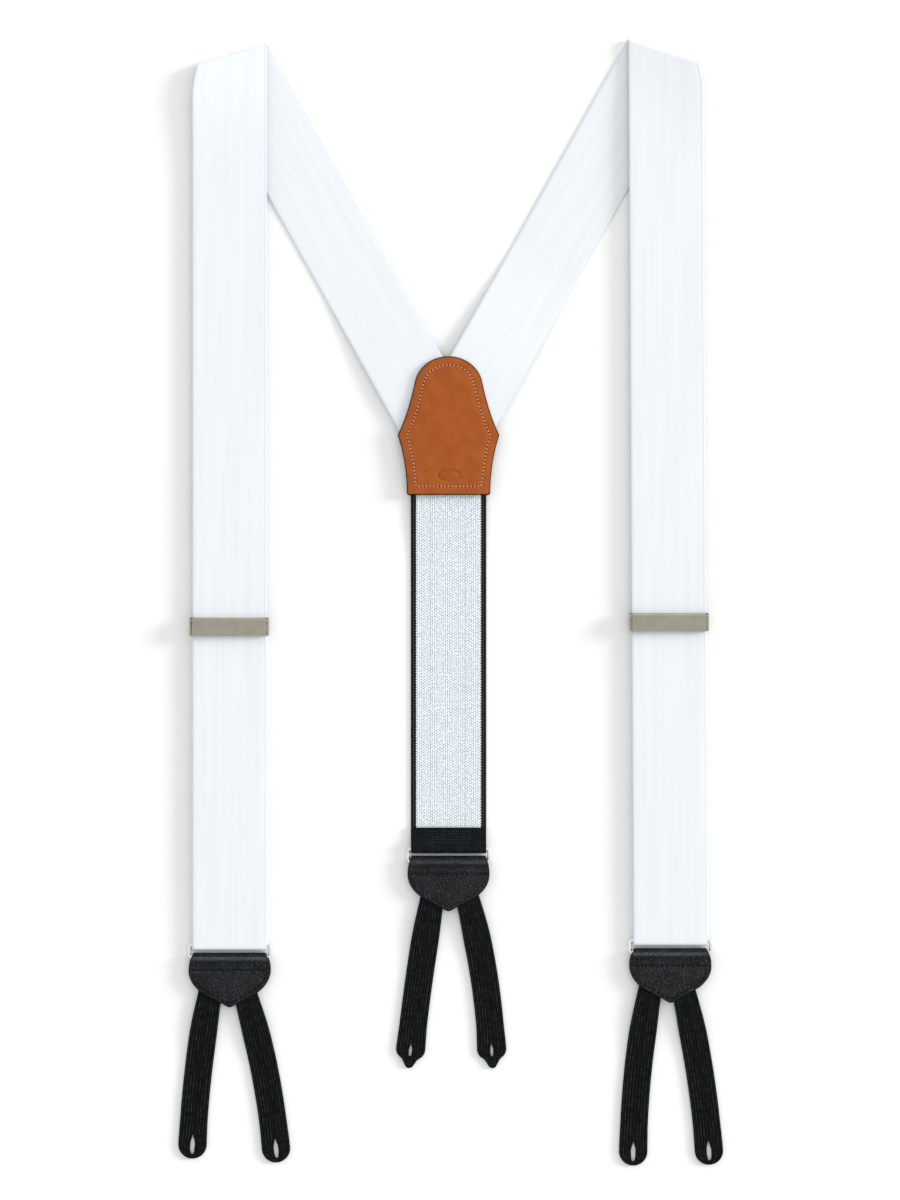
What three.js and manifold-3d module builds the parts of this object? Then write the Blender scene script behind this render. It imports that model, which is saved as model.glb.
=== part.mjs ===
// Button-on dress braces (suspenders), laid flat with the straps folded at the shoulders.
//
// Two ribbon straps leave a leather yoke patch at the back, fold over at the shoulders and run down to
// lever adjusters and wire rings. An elastic strap runs down from the patch to a third ring. Each ring
// holds a leather end with two braided button tabs.
//
// Millimetres. X runs across the wearer, +Y towards the shoulders and +Z up from the surface that the
// braces lie on. The origin is on that surface, in the middle of the whole.

import * as THREE from "three";
import { mergeVertices } from "three/addons/utils/BufferGeometryUtils.js";
import Module from "manifold-3d";

const wasm = await Module();
wasm.setup();

// ---------------------------------------------------------------- driving dimensions

const GAP = 0.1; // between layers that lie on each other
const RUN = 0.3; // around whatever turns or slides

const RIBBON = { width: 36, thick: 0.8 };
const ELASTIC = { width: 36.6, thick: 1.0 };

// The yoke patch: two leather panels with the strap ends between them.
const PATCH = {
  x: -0.7,
  top: 119.2,
  bottom: 51.9,
  domeHalf: 16.6, // half the width of the domed top
  domeRise: 15.2,
  earHalf: 24.7, // half the width at the widest corners
  earY: 81,
  bottomHalf: 20.2,
  front: 1.2, // leather thickness
  backing: 1.0,
  seamInset: 4.2,
};

// The shoulder fold. The crease leans so that the back strap leaves towards the patch.
const CREASE = { lean: THREE.MathUtils.degToRad(14.6), y: 268.3 };
const ROLL = { outer: 2.6, inner: 1.2, steps: 8, clear: 0.02 }; // radius of the soft fold at each edge
const BACK_STRAP_LENGTH = 228; // from the crease to the strap's end under the patch

// Where each front strap lies: x at the shoulder, the share by which it drifts outwards on its way down, and
// how far the whole strap is shifted along Y.
const SIDES = {
  left: { sign: -1, x: -107, drift: 0, rise: -1.1 },
  right: { sign: 1, x: 104.6, drift: 0.0055, rise: 1.1 },
};
const ADJUSTER_Y = -10.8;
const LEATHER_TOP_Y = -169.2; // top of a front leather end

// Wire rings, all three alike. inner is half the clear width, and barSpacing is between the long bars' middles.
const RING = {
  wire: 0.8,
  inner: Math.max(RIBBON.width, ELASTIC.width) / 2 + 0.5,
  barSpacing: 5.8,
  corner: 1.2,
  z: 2.1,
};

// Leather ends, folded over a ring's lower bar.
const EAR = {
  thick: 1.0,
  widest: RING.inner + 1.1,
  widestDrop: 8.5,
  shoulder: 14,
  shoulderDrop: 19,
  nub: 3.2,
  nubDrop: 24.8,
  drop: 26.4,
  seamInset: 1.9,
  seamDrop: 8.3, // the straight seam under the ring tunnel
};
const EAR_TOP_HALF = { front: RING.inner - 1.5, back: RING.inner - 0.7 };

// Button tabs: a braid folded in two, its legs side by side, open at the tip as a buttonhole.
const TAB = {
  thick: 1.6,
  rootWidth: 11,
  width: 13.4,
  bulb: 13.8, // width at the tip
  slit: 0.1, // half the gap between the legs
  rootDrop: 10, // the legs start this far under the top of the leather
};
const BUTTONHOLE = { half: 1.1, length: 5, belowBulb: 4.7 };

// The back leather end, and the elastic that holds it.
const BACK_LEATHER_TOP_Y = -123.7;
const BACK_HEM = 12; // the elastic's end, turned to the front over the ring and sewn down

// Adjusters.
const ADJUSTER = {
  height: 8.8,
  cheek: 0.8,
  plate: 0.8, // rear plate
  plateZ: 1.3,
  barHeight: 2.2, // the rear bar that the strap's end is sewn round
  windowHeight: 2.4,
  pinRadius: 0.5,
  pinY: 2.9,
  barrel: 1.4,
  cover: 1.2, // thickness of the lever's cover
};
const STRAP_HEM = 11.4; // the strap's end, sewn back on itself under the adjuster
const LOOP_REACH = 8; // how far a strap's loop reaches up from its ring's bar

const THREAD = 0.2;

// ---------------------------------------------------------------- colours

const finish = (color, roughness, metalness = 0) =>
  new THREE.MeshStandardMaterial({ color, roughness, metalness });
const WHITE_RIBBON = finish(0xf1f4f8, 0.55);
const WHITE_ELASTIC = finish(0xdfe6ee, 0.85);
const TAN_LEATHER = finish(0xad5a2a, 0.5);
const BLACK_LEATHER = finish(0x1b1e20, 0.42);
const BLACK_BRAID = finish(0x121414, 0.85);
const NICKEL = finish(0xd2d2d0, 0.2, 1);
const BRUSHED = finish(0x9b9788, 0.35, 1);
const TAN_THREAD = finish(0xcf8f6c, 0.7);
const BLACK_THREAD = finish(0x0c0c0d, 0.7);
const WHITE_THREAD = finish(0xe8ebf0, 0.7);

// ---------------------------------------------------------------- making solids

const v3 = (x, y, z) => new THREE.Vector3(x, y, z);

/** A named mesh. */
function part(name, geometry, material) {
  const mesh = new THREE.Mesh(geometry, material);
  mesh.name = name;
  return mesh;
}

/** A closed flat bar between two edge lines with the same number of points. Its open ends lie level. */
function band(edgeA, edgeB, thick, closed = false) {
  const last = edgeA.length - 1;
  const wrapped = (i) => (closed ? (i + last + 1) % (last + 1) : Math.min(Math.max(i, 0), last));
  const at = (line, i) => line[wrapped(i)];
  const points = [];
  for (let i = 0; i <= last; i++) {
    const along = at(edgeA, i + 1).clone().add(at(edgeB, i + 1)).sub(at(edgeA, i - 1)).sub(at(edgeB, i - 1));
    const up = edgeB[i].clone().sub(edgeA[i]).cross(along);
    if (!closed && (i === 0 || i === last)) up.set(0, 0, up.z);
    up.setLength(thick / 2);
    points.push(
      edgeA[i].clone().add(up),
      edgeB[i].clone().add(up),
      edgeB[i].clone().sub(up),
      edgeA[i].clone().sub(up),
    );
  }
  const triangles = [];
  const quad = (a, b, c, d) => triangles.push(a, b, c, a, c, d);
  for (let i = 0; i < (closed ? last + 1 : last); i++) {
    const here = 4 * i;
    const next = 4 * ((i + 1) % (last + 1));
    // Face and back split along the same diagonal, so a twisted stretch keeps its thickness.
    quad(here, here + 1, next + 1, next);
    quad(here + 1, here + 2, next + 2, next + 1);
    quad(here + 3, next + 3, next + 2, here + 2);
    quad(here + 3, here, next, next + 3);
  }
  if (!closed) {
    quad(3, 2, 1, 0);
    quad(4 * last, 4 * last + 1, 4 * last + 2, 4 * last + 3);
  }
  const geometry = new THREE.BufferGeometry().setFromPoints(points);
  geometry.setIndex(triangles);
  return geometry;
}

/** A strip of constant width along a side profile of [y, z] points. xAt gives the middle's x at a y. */
function strip(xAt, width, profile, thick) {
  const edge = (side) => profile.map(([y, z]) => v3(xAt(y) + side * (width / 2), y, z));
  return band(edge(1), edge(-1), thick);
}

/** Points [y, z] of a half turn about (y, z), from below to above if turn is 1, bulging to the side given. */
function halfTurn(y, z, radius, bulge, turn, steps = 6) {
  return Array.from({ length: steps + 1 }, (_, i) => {
    const angle = -Math.PI / 2 + (Math.PI * i) / steps;
    return [y + bulge * radius * Math.cos(angle), z + turn * radius * Math.sin(angle)];
  });
}

/** A flat shape in XY, raised from z by its thickness. */
function prism(shape, z, thick, curveSegments = 8) {
  const settings = { depth: thick, bevelEnabled: false, curveSegments };
  return new THREE.ExtrudeGeometry(shape, settings).translate(0, 0, z);
}

/** A side profile in YZ, drawn as (y, z), spanning X from -half to half about x. */
function crossways(shape, x, half, curveSegments = 8) {
  const turn = new THREE.Matrix4().makeBasis(v3(0, 1, 0), v3(0, 0, 1), v3(1, 0, 0));
  const geometry = new THREE.ExtrudeGeometry(shape, { depth: 2 * half, bevelEnabled: false, curveSegments });
  return geometry.applyMatrix4(turn).translate(x - half, 0, 0);
}

function box(x0, x1, y0, y1, z0, z1) {
  const block = new THREE.BoxGeometry(x1 - x0, y1 - y0, z1 - z0);
  return block.translate((x0 + x1) / 2, (y0 + y1) / 2, (z0 + z1) / 2);
}

function rod(radius, half, x, y, z, sides = 16) {
  return new THREE.CylinderGeometry(radius, radius, 2 * half, sides).rotateZ(Math.PI / 2).translate(x, y, z);
}

/** A geometry as a manifold-3d solid. */
function solid(geometry) {
  const bare = geometry.index ? geometry.toNonIndexed() : geometry.clone();
  bare.deleteAttribute("normal");
  bare.deleteAttribute("uv");
  const merged = mergeVertices(bare, 1e-4);
  return new wasm.Manifold(
    new wasm.Mesh({
      numProp: 3,
      vertProperties: merged.attributes.position.array,
      triVerts: new Uint32Array(merged.index.array),
    }),
  );
}

/** A manifold-3d solid as a geometry. */
function drawn(made) {
  const mesh = made.getMesh();
  const geometry = new THREE.BufferGeometry();
  geometry.setAttribute("position", new THREE.BufferAttribute(mesh.vertProperties, 3));
  geometry.setIndex(new THREE.BufferAttribute(mesh.triVerts, 1));
  return geometry;
}

const joined = (...geometries) => drawn(geometries.map(solid).reduce((all, next) => all.add(next)));

/** The outline moved inwards by a distance, as Vector2 points. */
function inset(points, distance) {
  const n = points.length;
  const turn = THREE.ShapeUtils.isClockWise(points) ? -1 : 1;
  return points.map((point, i) => {
    const along = points[(i + 1) % n].clone().sub(points[(i + n - 1) % n]).normalize();
    return new THREE.Vector2(point.x - turn * along.y * distance, point.y + turn * along.x * distance);
  });
}

/** A seam: a flat ring of thread that follows a closed line of Vector2 points at height z. */
function seamRing(points, z) {
  const wide = 2 * THREAD;
  const lift = (line) => line.map((p) => v3(p.x, p.y, z + THREAD / 2));
  return band(lift(inset(points, -wide / 2)), lift(inset(points, wide / 2)), THREAD, true);
}

// ---------------------------------------------------------------- levels of the layers

const backLevel = RIBBON.thick / 2; // middle of a strap that lies on the surface
const patchLayers = { elastic: PATCH.backing + GAP + ELASTIC.thick / 2 };
patchLayers.left = patchLayers.elastic + (ELASTIC.thick + RIBBON.thick) / 2 + GAP;
patchLayers.right = patchLayers.left + RIBBON.thick + GAP;
patchLayers.front = patchLayers.right + RIBBON.thick / 2 + GAP; // underside of the front panel

// A loop round a ring's bar: its strap's middle is this far from the bar's middle.
const ribbonLoop = RING.wire + RUN + RIBBON.thick / 2;
const elasticLoop = RING.wire + RUN + ELASTIC.thick / 2;
const tunnel = RING.wire + RUN; // inner radius of the leather's fold

// The strap's end lies round the adjuster's rear bar, and its front run passes over that, under the lever.
const frontRun = ADJUSTER.plateZ + ADJUSTER.plate + 2 * RUN + 1.5 * RIBBON.thick;
const pinZ = frontRun + RIBBON.thick / 2 + RUN + ADJUSTER.barrel;
const adjusterTop = pinZ + ADJUSTER.barrel;
const ringTopY = (leatherTop) => leatherTop - tunnel - EAR.thick + RING.barSpacing;

/** The middle of a front strap, as a function of y. */
const middleOf = (side) => (y) => side.x + side.drift * (CREASE.y - y);
const backMiddle = () => PATCH.x;

// ---------------------------------------------------------------- shoulder and back straps

/** Points of one ribbon round its shoulder fold and on its way to the patch. */
function shoulder(side) {
  const { sign, x, rise } = side;
  const { sin, cos, tan } = Math;
  const lean = CREASE.lean;
  const back = v3(-sign * sin(2 * lean), -cos(2 * lean), 0);
  const across = v3(cos(2 * lean), -sign * sin(2 * lean), 0);
  const outward = v3(sign * sin(lean), cos(lean), 0);
  const down = v3(0, -1, 0);
  const edges = [
    { offset: (sign * RIBBON.width) / 2, radius: ROLL.outer },
    { offset: (-sign * RIBBON.width) / 2, radius: ROLL.inner },
  ].sort((a, b) => b.offset - a.offset);
  const crease = (edge) => v3(x + edge.offset, CREASE.y + rise - sign * edge.offset * tan(lean), backLevel);
  const reach = (edge) => (Math.PI * edge.radius) / 2 / cos(lean);

  /** One edge's point at an angle round the fold: 0 on the back strap, 180 degrees on the front one. */
  const fold = (edge, angle) => {
    const start = crease(edge).addScaledVector(back, reach(edge));
    const end = crease(edge).addScaledVector(down, reach(edge));
    const bulge = outward.clone().multiplyScalar(edge.radius * sin(angle));
    bulge.z = edge.radius * (1 - cos(angle));
    return start.lerp(end, angle / Math.PI).add(bulge);
  };
  /** One edge's point on the back strap, a distance from the middle of the crease. */
  const onBack = (edge, distance, z) =>
    v3(x, CREASE.y + rise, z).addScaledVector(back, distance).addScaledVector(across, edge.offset);
  return { edges, fold, onBack };
}

function backStrap(side, patchLevel) {
  const { edges, fold, onBack } = shoulder(side);
  const leaves = BACK_STRAP_LENGTH - 48; // where the strap starts to climb out of the patch
  const lines = edges.map((edge) => [
    fold(edge, 0),
    onBack(edge, leaves - 62, backLevel),
    onBack(edge, leaves - 20, backLevel + 0.45 * (patchLevel - backLevel)),
    onBack(edge, leaves, patchLevel),
    onBack(edge, BACK_STRAP_LENGTH, patchLevel),
  ]);
  return band(lines[1], lines[0], RIBBON.thick);
}

function shoulderFold(side) {
  const { edges, fold } = shoulder(side);
  const angleAt = (share) => THREE.MathUtils.lerp(ROLL.clear, Math.PI - ROLL.clear, share);
  const angles = Array.from({ length: ROLL.steps + 1 }, (_, i) => angleAt(i / ROLL.steps));
  const lines = edges.map((edge) => angles.map((angle) => fold(edge, angle)));
  return band(lines[1], lines[0], RIBBON.thick);
}

// ---------------------------------------------------------------- front straps

/** The front run, from the shoulder fold through the adjuster to the ring's loop. */
function frontStrap(side, barY) {
  const { edges, fold } = shoulder(side);
  const xAt = middleOf(side);
  const path = [
    [CREASE.y - 50, frontRun],
    [barY + 40, frontRun],
    [barY + LOOP_REACH + GAP, RING.z + ribbonLoop],
  ];
  const lines = edges.map((edge) => [
    fold(edge, Math.PI),
    ...path.map(([y, z]) => v3(xAt(y) + edge.offset, y, z)),
  ]);
  return band(lines[1], lines[0], RIBBON.thick);
}

/** The strap's turn round its ring's upper bar. */
function strapLoop(xAt, barY) {
  const top = RING.z + ribbonLoop;
  const turn = halfTurn(barY, RING.z, ribbonLoop, -1, -1);
  const profile = [[barY + LOOP_REACH, top], ...turn, [barY + LOOP_REACH, RING.z - ribbonLoop]];
  return strip(xAt, RIBBON.width, profile, RIBBON.thick);
}

/** The strap's run back up under itself, round the adjuster's rear bar, with its end sewn down. */
function strapReturn(xAt, adjusterY, barY) {
  const low = RING.z - ribbonLoop;
  const barTop = adjusterY - ADJUSTER.height / 2 + ADJUSTER.barHeight;
  const middle = ADJUSTER.plateZ + ADJUSTER.plate / 2;
  const radius = middle - low;
  const turn = halfTurn(barTop - radius + RUN + RIBBON.thick / 2, middle, radius, 1, 1);
  const hem = low + RIBBON.thick + RUN;
  const foot = adjusterY - ADJUSTER.height / 2;
  const profile = [
    [barY + LOOP_REACH + GAP, low],
    ...turn,
    [foot - 0.6, middle + radius],
    [foot - 4.6, hem],
    [foot - 4.6 - STRAP_HEM + 6, hem],
  ];
  return strip(xAt, RIBBON.width, profile, RIBBON.thick);
}

/** A box of stitches under the strap, where its end is sewn down. */
function hemStitching(x, adjusterY) {
  const top = adjusterY - ADJUSTER.height / 2 - 5;
  const bottom = top - 5;
  const half = RIBBON.width / 2 - 3;
  const z = RING.z - ribbonLoop - RIBBON.thick / 2 - THREAD;
  const corners = [
    [-half, bottom],
    [half, bottom],
    [half, top],
    [-half, top],
  ].map(([dx, y]) => new THREE.Vector2(x + dx, y));
  const wide = 2 * THREAD;
  const lift = (line) => line.map((p) => v3(p.x, p.y, z + THREAD / 4));
  return band(lift(inset(corners, -wide / 2)), lift(inset(corners, wide / 2)), THREAD / 2, true);
}

// ---------------------------------------------------------------- adjusters

function adjusterFrame(x, y) {
  const half = RIBBON.width / 2 + RUN;
  const tall = ADJUSTER.height / 2;
  const plateTop = ADJUSTER.plateZ + ADJUSTER.plate;
  const windowFoot = y - tall + ADJUSTER.barHeight;
  const outer = half + ADJUSTER.cheek;
  const body = solid(box(x - outer, x + outer, y - tall, y + tall, ADJUSTER.plateZ, adjusterTop));
  const channel = solid(box(x - half, x + half, y - tall - 1, y + tall + 1, plateTop, adjusterTop + 1));
  const windowTop = windowFoot + ADJUSTER.windowHeight;
  const opening = solid(box(x - half, x + half, windowFoot, windowTop, 0, plateTop + 1));
  const pinHole = solid(rod(ADJUSTER.pinRadius + GAP, half + 2, x, y + ADJUSTER.pinY, pinZ));
  return drawn(body.subtract(channel).subtract(opening).subtract(pinHole));
}

function adjusterPin(x, y) {
  return rod(ADJUSTER.pinRadius, RIBBON.width / 2 + RUN + ADJUSTER.cheek, x, y + ADJUSTER.pinY, pinZ);
}

/** The cover that flips up to free the strap, with the barrel that turns on the pin. */
function adjusterLever(x, y) {
  const half = RIBBON.width / 2;
  const pinY = y + ADJUSTER.pinY;
  const round = 0.4;
  const foot = y - ADJUSTER.height / 2;
  const coverFoot = adjusterTop - ADJUSTER.cover;
  const cover = new THREE.Shape();
  cover.moveTo(foot, coverFoot);
  cover.lineTo(pinY, coverFoot);
  cover.lineTo(pinY, adjusterTop);
  cover.lineTo(foot + round, adjusterTop);
  cover.quadraticCurveTo(foot, adjusterTop, foot, adjusterTop - round);
  cover.closePath();
  const made = solid(crossways(cover, x, half, 4))
    .add(solid(rod(ADJUSTER.barrel, half, x, pinY, pinZ)))
    .subtract(solid(rod(ADJUSTER.pinRadius + RUN, half + 1, x, pinY, pinZ)));
  return drawn(made);
}

// ---------------------------------------------------------------- rings and leather ends

/** A wire ring: a rounded oblong of round wire, its upper bar's middle at barY. */
function ring(x, barY) {
  const half = RING.inner + RING.wire;
  const low = barY - RING.barSpacing;
  const corners = [
    [half - RING.corner, barY - RING.corner, 0],
    [-half + RING.corner, barY - RING.corner, 90],
    [-half + RING.corner, low + RING.corner, 180],
    [half - RING.corner, low + RING.corner, 270],
  ];
  const middle = corners.flatMap(([dx, y, from]) =>
    [0, 30, 60, 90].map((more) => {
      const angle = THREE.MathUtils.degToRad(from + more);
      return { at: v3(x + dx, y, RING.z), out: v3(Math.cos(angle), Math.sin(angle), 0) };
    }),
  );
  const sides = 10;
  const points = middle.flatMap(({ at, out }) =>
    Array.from({ length: sides }, (_, k) => {
      const round = (2 * Math.PI * k) / sides;
      const reach = RING.corner + RING.wire * Math.cos(round);
      return at.clone().addScaledVector(out, reach).add(v3(0, 0, RING.wire * Math.sin(round)));
    }),
  );
  const triangles = [];
  middle.forEach((_, i) => {
    for (let k = 0; k < sides; k++) {
      const here = i * sides;
      const next = ((i + 1) % middle.length) * sides;
      const other = (k + 1) % sides;
      triangles.push(here + k, next + k, next + other, here + k, next + other, here + other);
    }
  });
  const geometry = new THREE.BufferGeometry().setFromPoints(points);
  geometry.setIndex(triangles);
  return geometry;
}

/** A leather end's outline, its top edge at y = top. */
function earOutline(x, top, topHalf) {
  const shape = new THREE.Shape();
  shape.moveTo(x - topHalf, top);
  shape.quadraticCurveTo(x - EAR.widest, top - 3.5, x - EAR.widest, top - EAR.widestDrop);
  shape.quadraticCurveTo(x - EAR.widest, top - 14.5, x - EAR.shoulder, top - EAR.shoulderDrop);
  shape.lineTo(x - EAR.nub, top - EAR.nubDrop);
  shape.quadraticCurveTo(x, top - EAR.drop - 1, x + EAR.nub, top - EAR.nubDrop);
  shape.lineTo(x + EAR.shoulder, top - EAR.shoulderDrop);
  shape.quadraticCurveTo(x + EAR.widest, top - 14.5, x + EAR.widest, top - EAR.widestDrop);
  shape.quadraticCurveTo(x + EAR.widest, top - 3.5, x + topHalf, top);
  shape.closePath();
  return shape;
}

/** Leather folded over a ring's lower bar and cut to the outline. */
function leatherEnd(x, top, topHalf) {
  const outer = tunnel + EAR.thick;
  const foldY = top - outer;
  const foot = top - EAR.drop - 2;
  const fold = new THREE.Shape();
  fold.moveTo(foot, RING.z - outer);
  fold.lineTo(foldY, RING.z - outer);
  fold.absarc(foldY, RING.z, outer, -Math.PI / 2, Math.PI / 2, false);
  fold.lineTo(foot, RING.z + outer);
  fold.lineTo(foot, RING.z + tunnel);
  fold.lineTo(foldY, RING.z + tunnel);
  fold.absarc(foldY, RING.z, tunnel, Math.PI / 2, -Math.PI / 2, true);
  fold.lineTo(foot, RING.z - tunnel);
  fold.closePath();
  const folded = solid(crossways(fold, x, EAR.widest + 2, 12));
  return drawn(folded.intersect(solid(prism(earOutline(x, top, topHalf), -1, RING.z + outer + 3, 6))));
}

/** The seam on a leather end: straight under the ring's tunnel, then along the border. */
function earSeam(x, top) {
  const { seamInset: into, seamDrop: drop } = EAR;
  const shape = new THREE.Shape();
  const wide = EAR.widest - into;
  shape.moveTo(x - wide, top - drop);
  shape.quadraticCurveTo(x - wide, top - 13.6, x - EAR.shoulder + 1, top - EAR.shoulderDrop + into);
  shape.lineTo(x, top - EAR.drop + 2 * into);
  shape.lineTo(x + EAR.shoulder - 1, top - EAR.shoulderDrop + into);
  shape.quadraticCurveTo(x + wide, top - 13.6, x + wide, top - drop);
  shape.closePath();
  return seamRing(shape.getPoints(4).slice(0, -1), RING.z + tunnel + EAR.thick + THREAD / 4);
}

// ---------------------------------------------------------------- button tabs

// A tip's half outline as [across, down] from the end of the legs: u is 0 at its side and 1 at its point.
const frontTip = (u) => [Math.cos((Math.PI * u) / 2), Math.sin((Math.PI * u) / 2)].map((n) => (n * TAB.bulb) / 2);
const ogeePoints = [
  [7.1, 0],
  [5.9, 2.8],
  [3.8, 4.5],
  [2.3, 6.8],
  [0, 8.9],
];
const ogee = new THREE.SplineCurve(ogeePoints.map(([across, down]) => new THREE.Vector2(across, down)));
const backTip = (u) => ogee.getPoint(u).toArray();

/** One tab's middle line, from its root in the leather to the middle of its tip, and its two edges. */
function tabLines(x, top, route, tip, hole) {
  const points = route.map(([dx, dy]) => v3(x + dx, top + dy, 0));
  const curve = new THREE.CatmullRomCurve3(points);
  const length = curve.getLength();
  const level = (y) => {
    const out = THREE.MathUtils.smoothstep(top - y, EAR.drop + 0.6, EAR.drop + 30);
    return THREE.MathUtils.lerp(RING.z, TAB.thick / 2, out);
  };
  const steps = 14;
  const legs = Array.from({ length: steps + 1 }, (_, i) => {
    const u = i / steps;
    const at = curve.getPointAt(u);
    const along = curve.getTangentAt(u);
    const left = length * (1 - u);
    const wide = THREE.MathUtils.lerp(TAB.rootWidth, TAB.width, THREE.MathUtils.smoothstep(u, 0, 0.4)) / 2;
    const half = THREE.MathUtils.lerp(tip(0)[0], wide, THREE.MathUtils.smoothstep(left, 0, 14));
    const open = TAB.slit + (hole.half - TAB.slit) * Math.max(0, 1 - left / hole.length);
    return { at, side: v3(along.y, -along.x, 0), half, open };
  });
  const end = curve.getPointAt(1);
  const along = curve.getTangentAt(1);
  const side = v3(along.y, -along.x, 0);
  const turns = 8;
  const point = (at, across, down) => at.clone().addScaledVector(side, across).addScaledVector(along, down);
  const outer = [];
  const inner = [];
  for (const leg of legs) {
    outer.push(leg.at.clone().addScaledVector(leg.side, leg.half));
    inner.push(leg.at.clone().addScaledVector(leg.side, leg.open));
  }
  for (let i = 1; i < 2 * turns; i++) {
    const u = i / turns;
    const mirrored = u > 1 ? 2 - u : u;
    const flip = u > 1 ? -1 : 1;
    const [across, down] = tip(mirrored);
    const quarter = (Math.PI * mirrored) / 2;
    outer.push(point(end, flip * across, down));
    inner.push(point(end, flip * hole.half * Math.cos(quarter) ** 0.6, hole.belowBulb * Math.sin(quarter)));
  }
  for (const leg of [...legs].reverse()) {
    outer.push(leg.at.clone().addScaledVector(leg.side, -leg.half));
    inner.push(leg.at.clone().addScaledVector(leg.side, -leg.open));
  }
  for (const p of [...outer, ...inner]) p.z = level(p.y);
  return { outer, inner, curve, level };
}

/** The braid, its centre seam and the bar tack over its buttonhole. */
function tabParts(name, x, top, route, tip, hole) {
  const { outer, inner, curve, level } = tabLines(x, top, route, tip, hole);
  const lifted = (p) => v3(p.x, p.y, level(p.y) + TAB.thick / 2 + THREAD);
  const seam = { from: 0.16, to: 0.9, steps: 10, half: 0.3 };
  const edge = (flip) =>
    Array.from({ length: seam.steps + 1 }, (_, i) => {
      const u = THREE.MathUtils.lerp(seam.from, seam.to, i / seam.steps);
      const along = curve.getTangentAt(u);
      return lifted(curve.getPointAt(u).addScaledVector(v3(along.y, -along.x, 0), flip * seam.half));
    });
  const tackU = 0.93;
  const tackAt = lifted(curve.getPointAt(tackU));
  const lean = curve.getTangentAt(tackU).negate();
  const tack = new THREE.BoxGeometry(3, 1, 1.5 * THREAD).rotateZ(Math.atan2(lean.x, lean.y));
  return [
    part(`${name}_tab`, band(inner, outer, TAB.thick), BLACK_BRAID),
    part(`${name}_tab_seam`, band(edge(-1), edge(1), THREAD), BLACK_THREAD),
    part(`${name}_tab_bartack`, tack.translate(tackAt.x, tackAt.y, tackAt.z), BLACK_THREAD),
  ];
}

// ---------------------------------------------------------------- yoke patch

function patchOutline() {
  const { x, top, bottom, domeHalf, domeRise, earHalf, earY, bottomHalf } = PATCH;
  const domeY = top - domeRise;
  const start = THREE.MathUtils.degToRad(14.5);
  const shape = new THREE.Shape();
  shape.moveTo(x - bottomHalf, bottom);
  shape.lineTo(x + bottomHalf, bottom);
  shape.quadraticCurveTo(x + bottomHalf + 0.1, bottom + 16, x + earHalf, earY);
  shape.quadraticCurveTo(x + 19.6, earY + 10, x + domeHalf * Math.cos(start), domeY + domeRise * Math.sin(start));
  shape.absellipse(x, domeY, domeHalf, domeRise, start, Math.PI - start, false, 0);
  shape.quadraticCurveTo(x - 19.6, earY + 10, x - earHalf, earY);
  shape.quadraticCurveTo(x - bottomHalf - 0.1, bottom + 16, x - bottomHalf, bottom);
  return shape;
}

// ---------------------------------------------------------------- elastic

/** The elastic from under the patch to the start of its sewn-back end. */
function elasticStrap(barY) {
  const low = RING.z - elasticLoop;
  return strip(
    backMiddle,
    ELASTIC.width,
    [
      [PATCH.bottom + 32, patchLayers.elastic],
      [PATCH.bottom - 2, patchLayers.elastic],
      [PATCH.bottom - 30, low],
      [barY + BACK_HEM + 4 + GAP, low],
    ],
    ELASTIC.thick,
  );
}

/** The elastic's turn round the ring's upper bar, its end turned up to the front. */
function elasticHem(barY) {
  const low = RING.z - elasticLoop;
  const hem = low + ELASTIC.thick + GAP;
  const turn = halfTurn(barY, RING.z, elasticLoop, -1, 1);
  const turned = [
    [barY + 1.5, RING.z + elasticLoop],
    [barY + 6, hem],
    [barY + BACK_HEM - elasticLoop, hem],
  ];
  return strip(backMiddle, ELASTIC.width, [[barY + BACK_HEM + 4, low], ...turn, ...turned], ELASTIC.thick);
}

/** Rows of stitches across the turned-up end, joined at their ends as one thread. */
function elasticStitching(x, barY) {
  const rows = 3;
  const pitch = 1.3;
  const half = 12.5;
  const z = RING.z - elasticLoop + 1.5 * ELASTIC.thick + GAP + THREAD / 4;
  const first = barY + 6.4;
  const bars = Array.from({ length: rows }, (_, i) => {
    const y = first + i * pitch;
    return box(x - half, x + half, y, y + 2 * THREAD, z, z + THREAD);
  });
  const ends = Array.from({ length: rows - 1 }, (_, i) => {
    const end = i % 2 ? -half : half;
    const y = first + i * pitch;
    return box(x + end - 2 * THREAD, x + end + 2 * THREAD, y, y + pitch + 2 * THREAD, z, z + THREAD);
  });
  return joined(...bars, ...ends);
}

// ---------------------------------------------------------------- the whole

// Each tab's middle line as [across, down] from the top middle of its leather: root, bend, tip.
const TAB_ROUTES = {
  left_outer: [[-7.6, -10], [-14.4, -50], [-18.2, -93.4]],
  left_inner: [[4.3, -10], [15.3, -50], [22.4, -95.3]],
  right_inner: [[-7.7, -10], [-14.5, -50], [-17.9, -99]],
  right_outer: [[3.7, -10], [12.7, -50], [18.9, -98.6]],
  back_left: [[-6, -10], [-13, -50.7], [-18.5, -94.2]],
  back_right: [[6.3, -10], [16, -50.7], [21, -94.2]],
};
const BACK_HOLE = { half: 0.7, length: 4, belowBulb: 3 };

const braces = new THREE.Group();

const outline = patchOutline();
const outlinePoints = outline.getPoints(10).filter((p, i, all) => i === 0 || p.distanceTo(all[i - 1]) > 1e-6);
const seamPoints = inset(outlinePoints.slice(0, -1), PATCH.seamInset);
braces.add(
  part("patch_backing", prism(outline, 0, PATCH.backing, 10), TAN_LEATHER),
  part("patch_front", prism(outline, patchLayers.front, PATCH.front, 10), TAN_LEATHER),
  part("patch_seam", seamRing(seamPoints, patchLayers.front + PATCH.front + THREAD / 4), TAN_THREAD),
);

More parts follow.
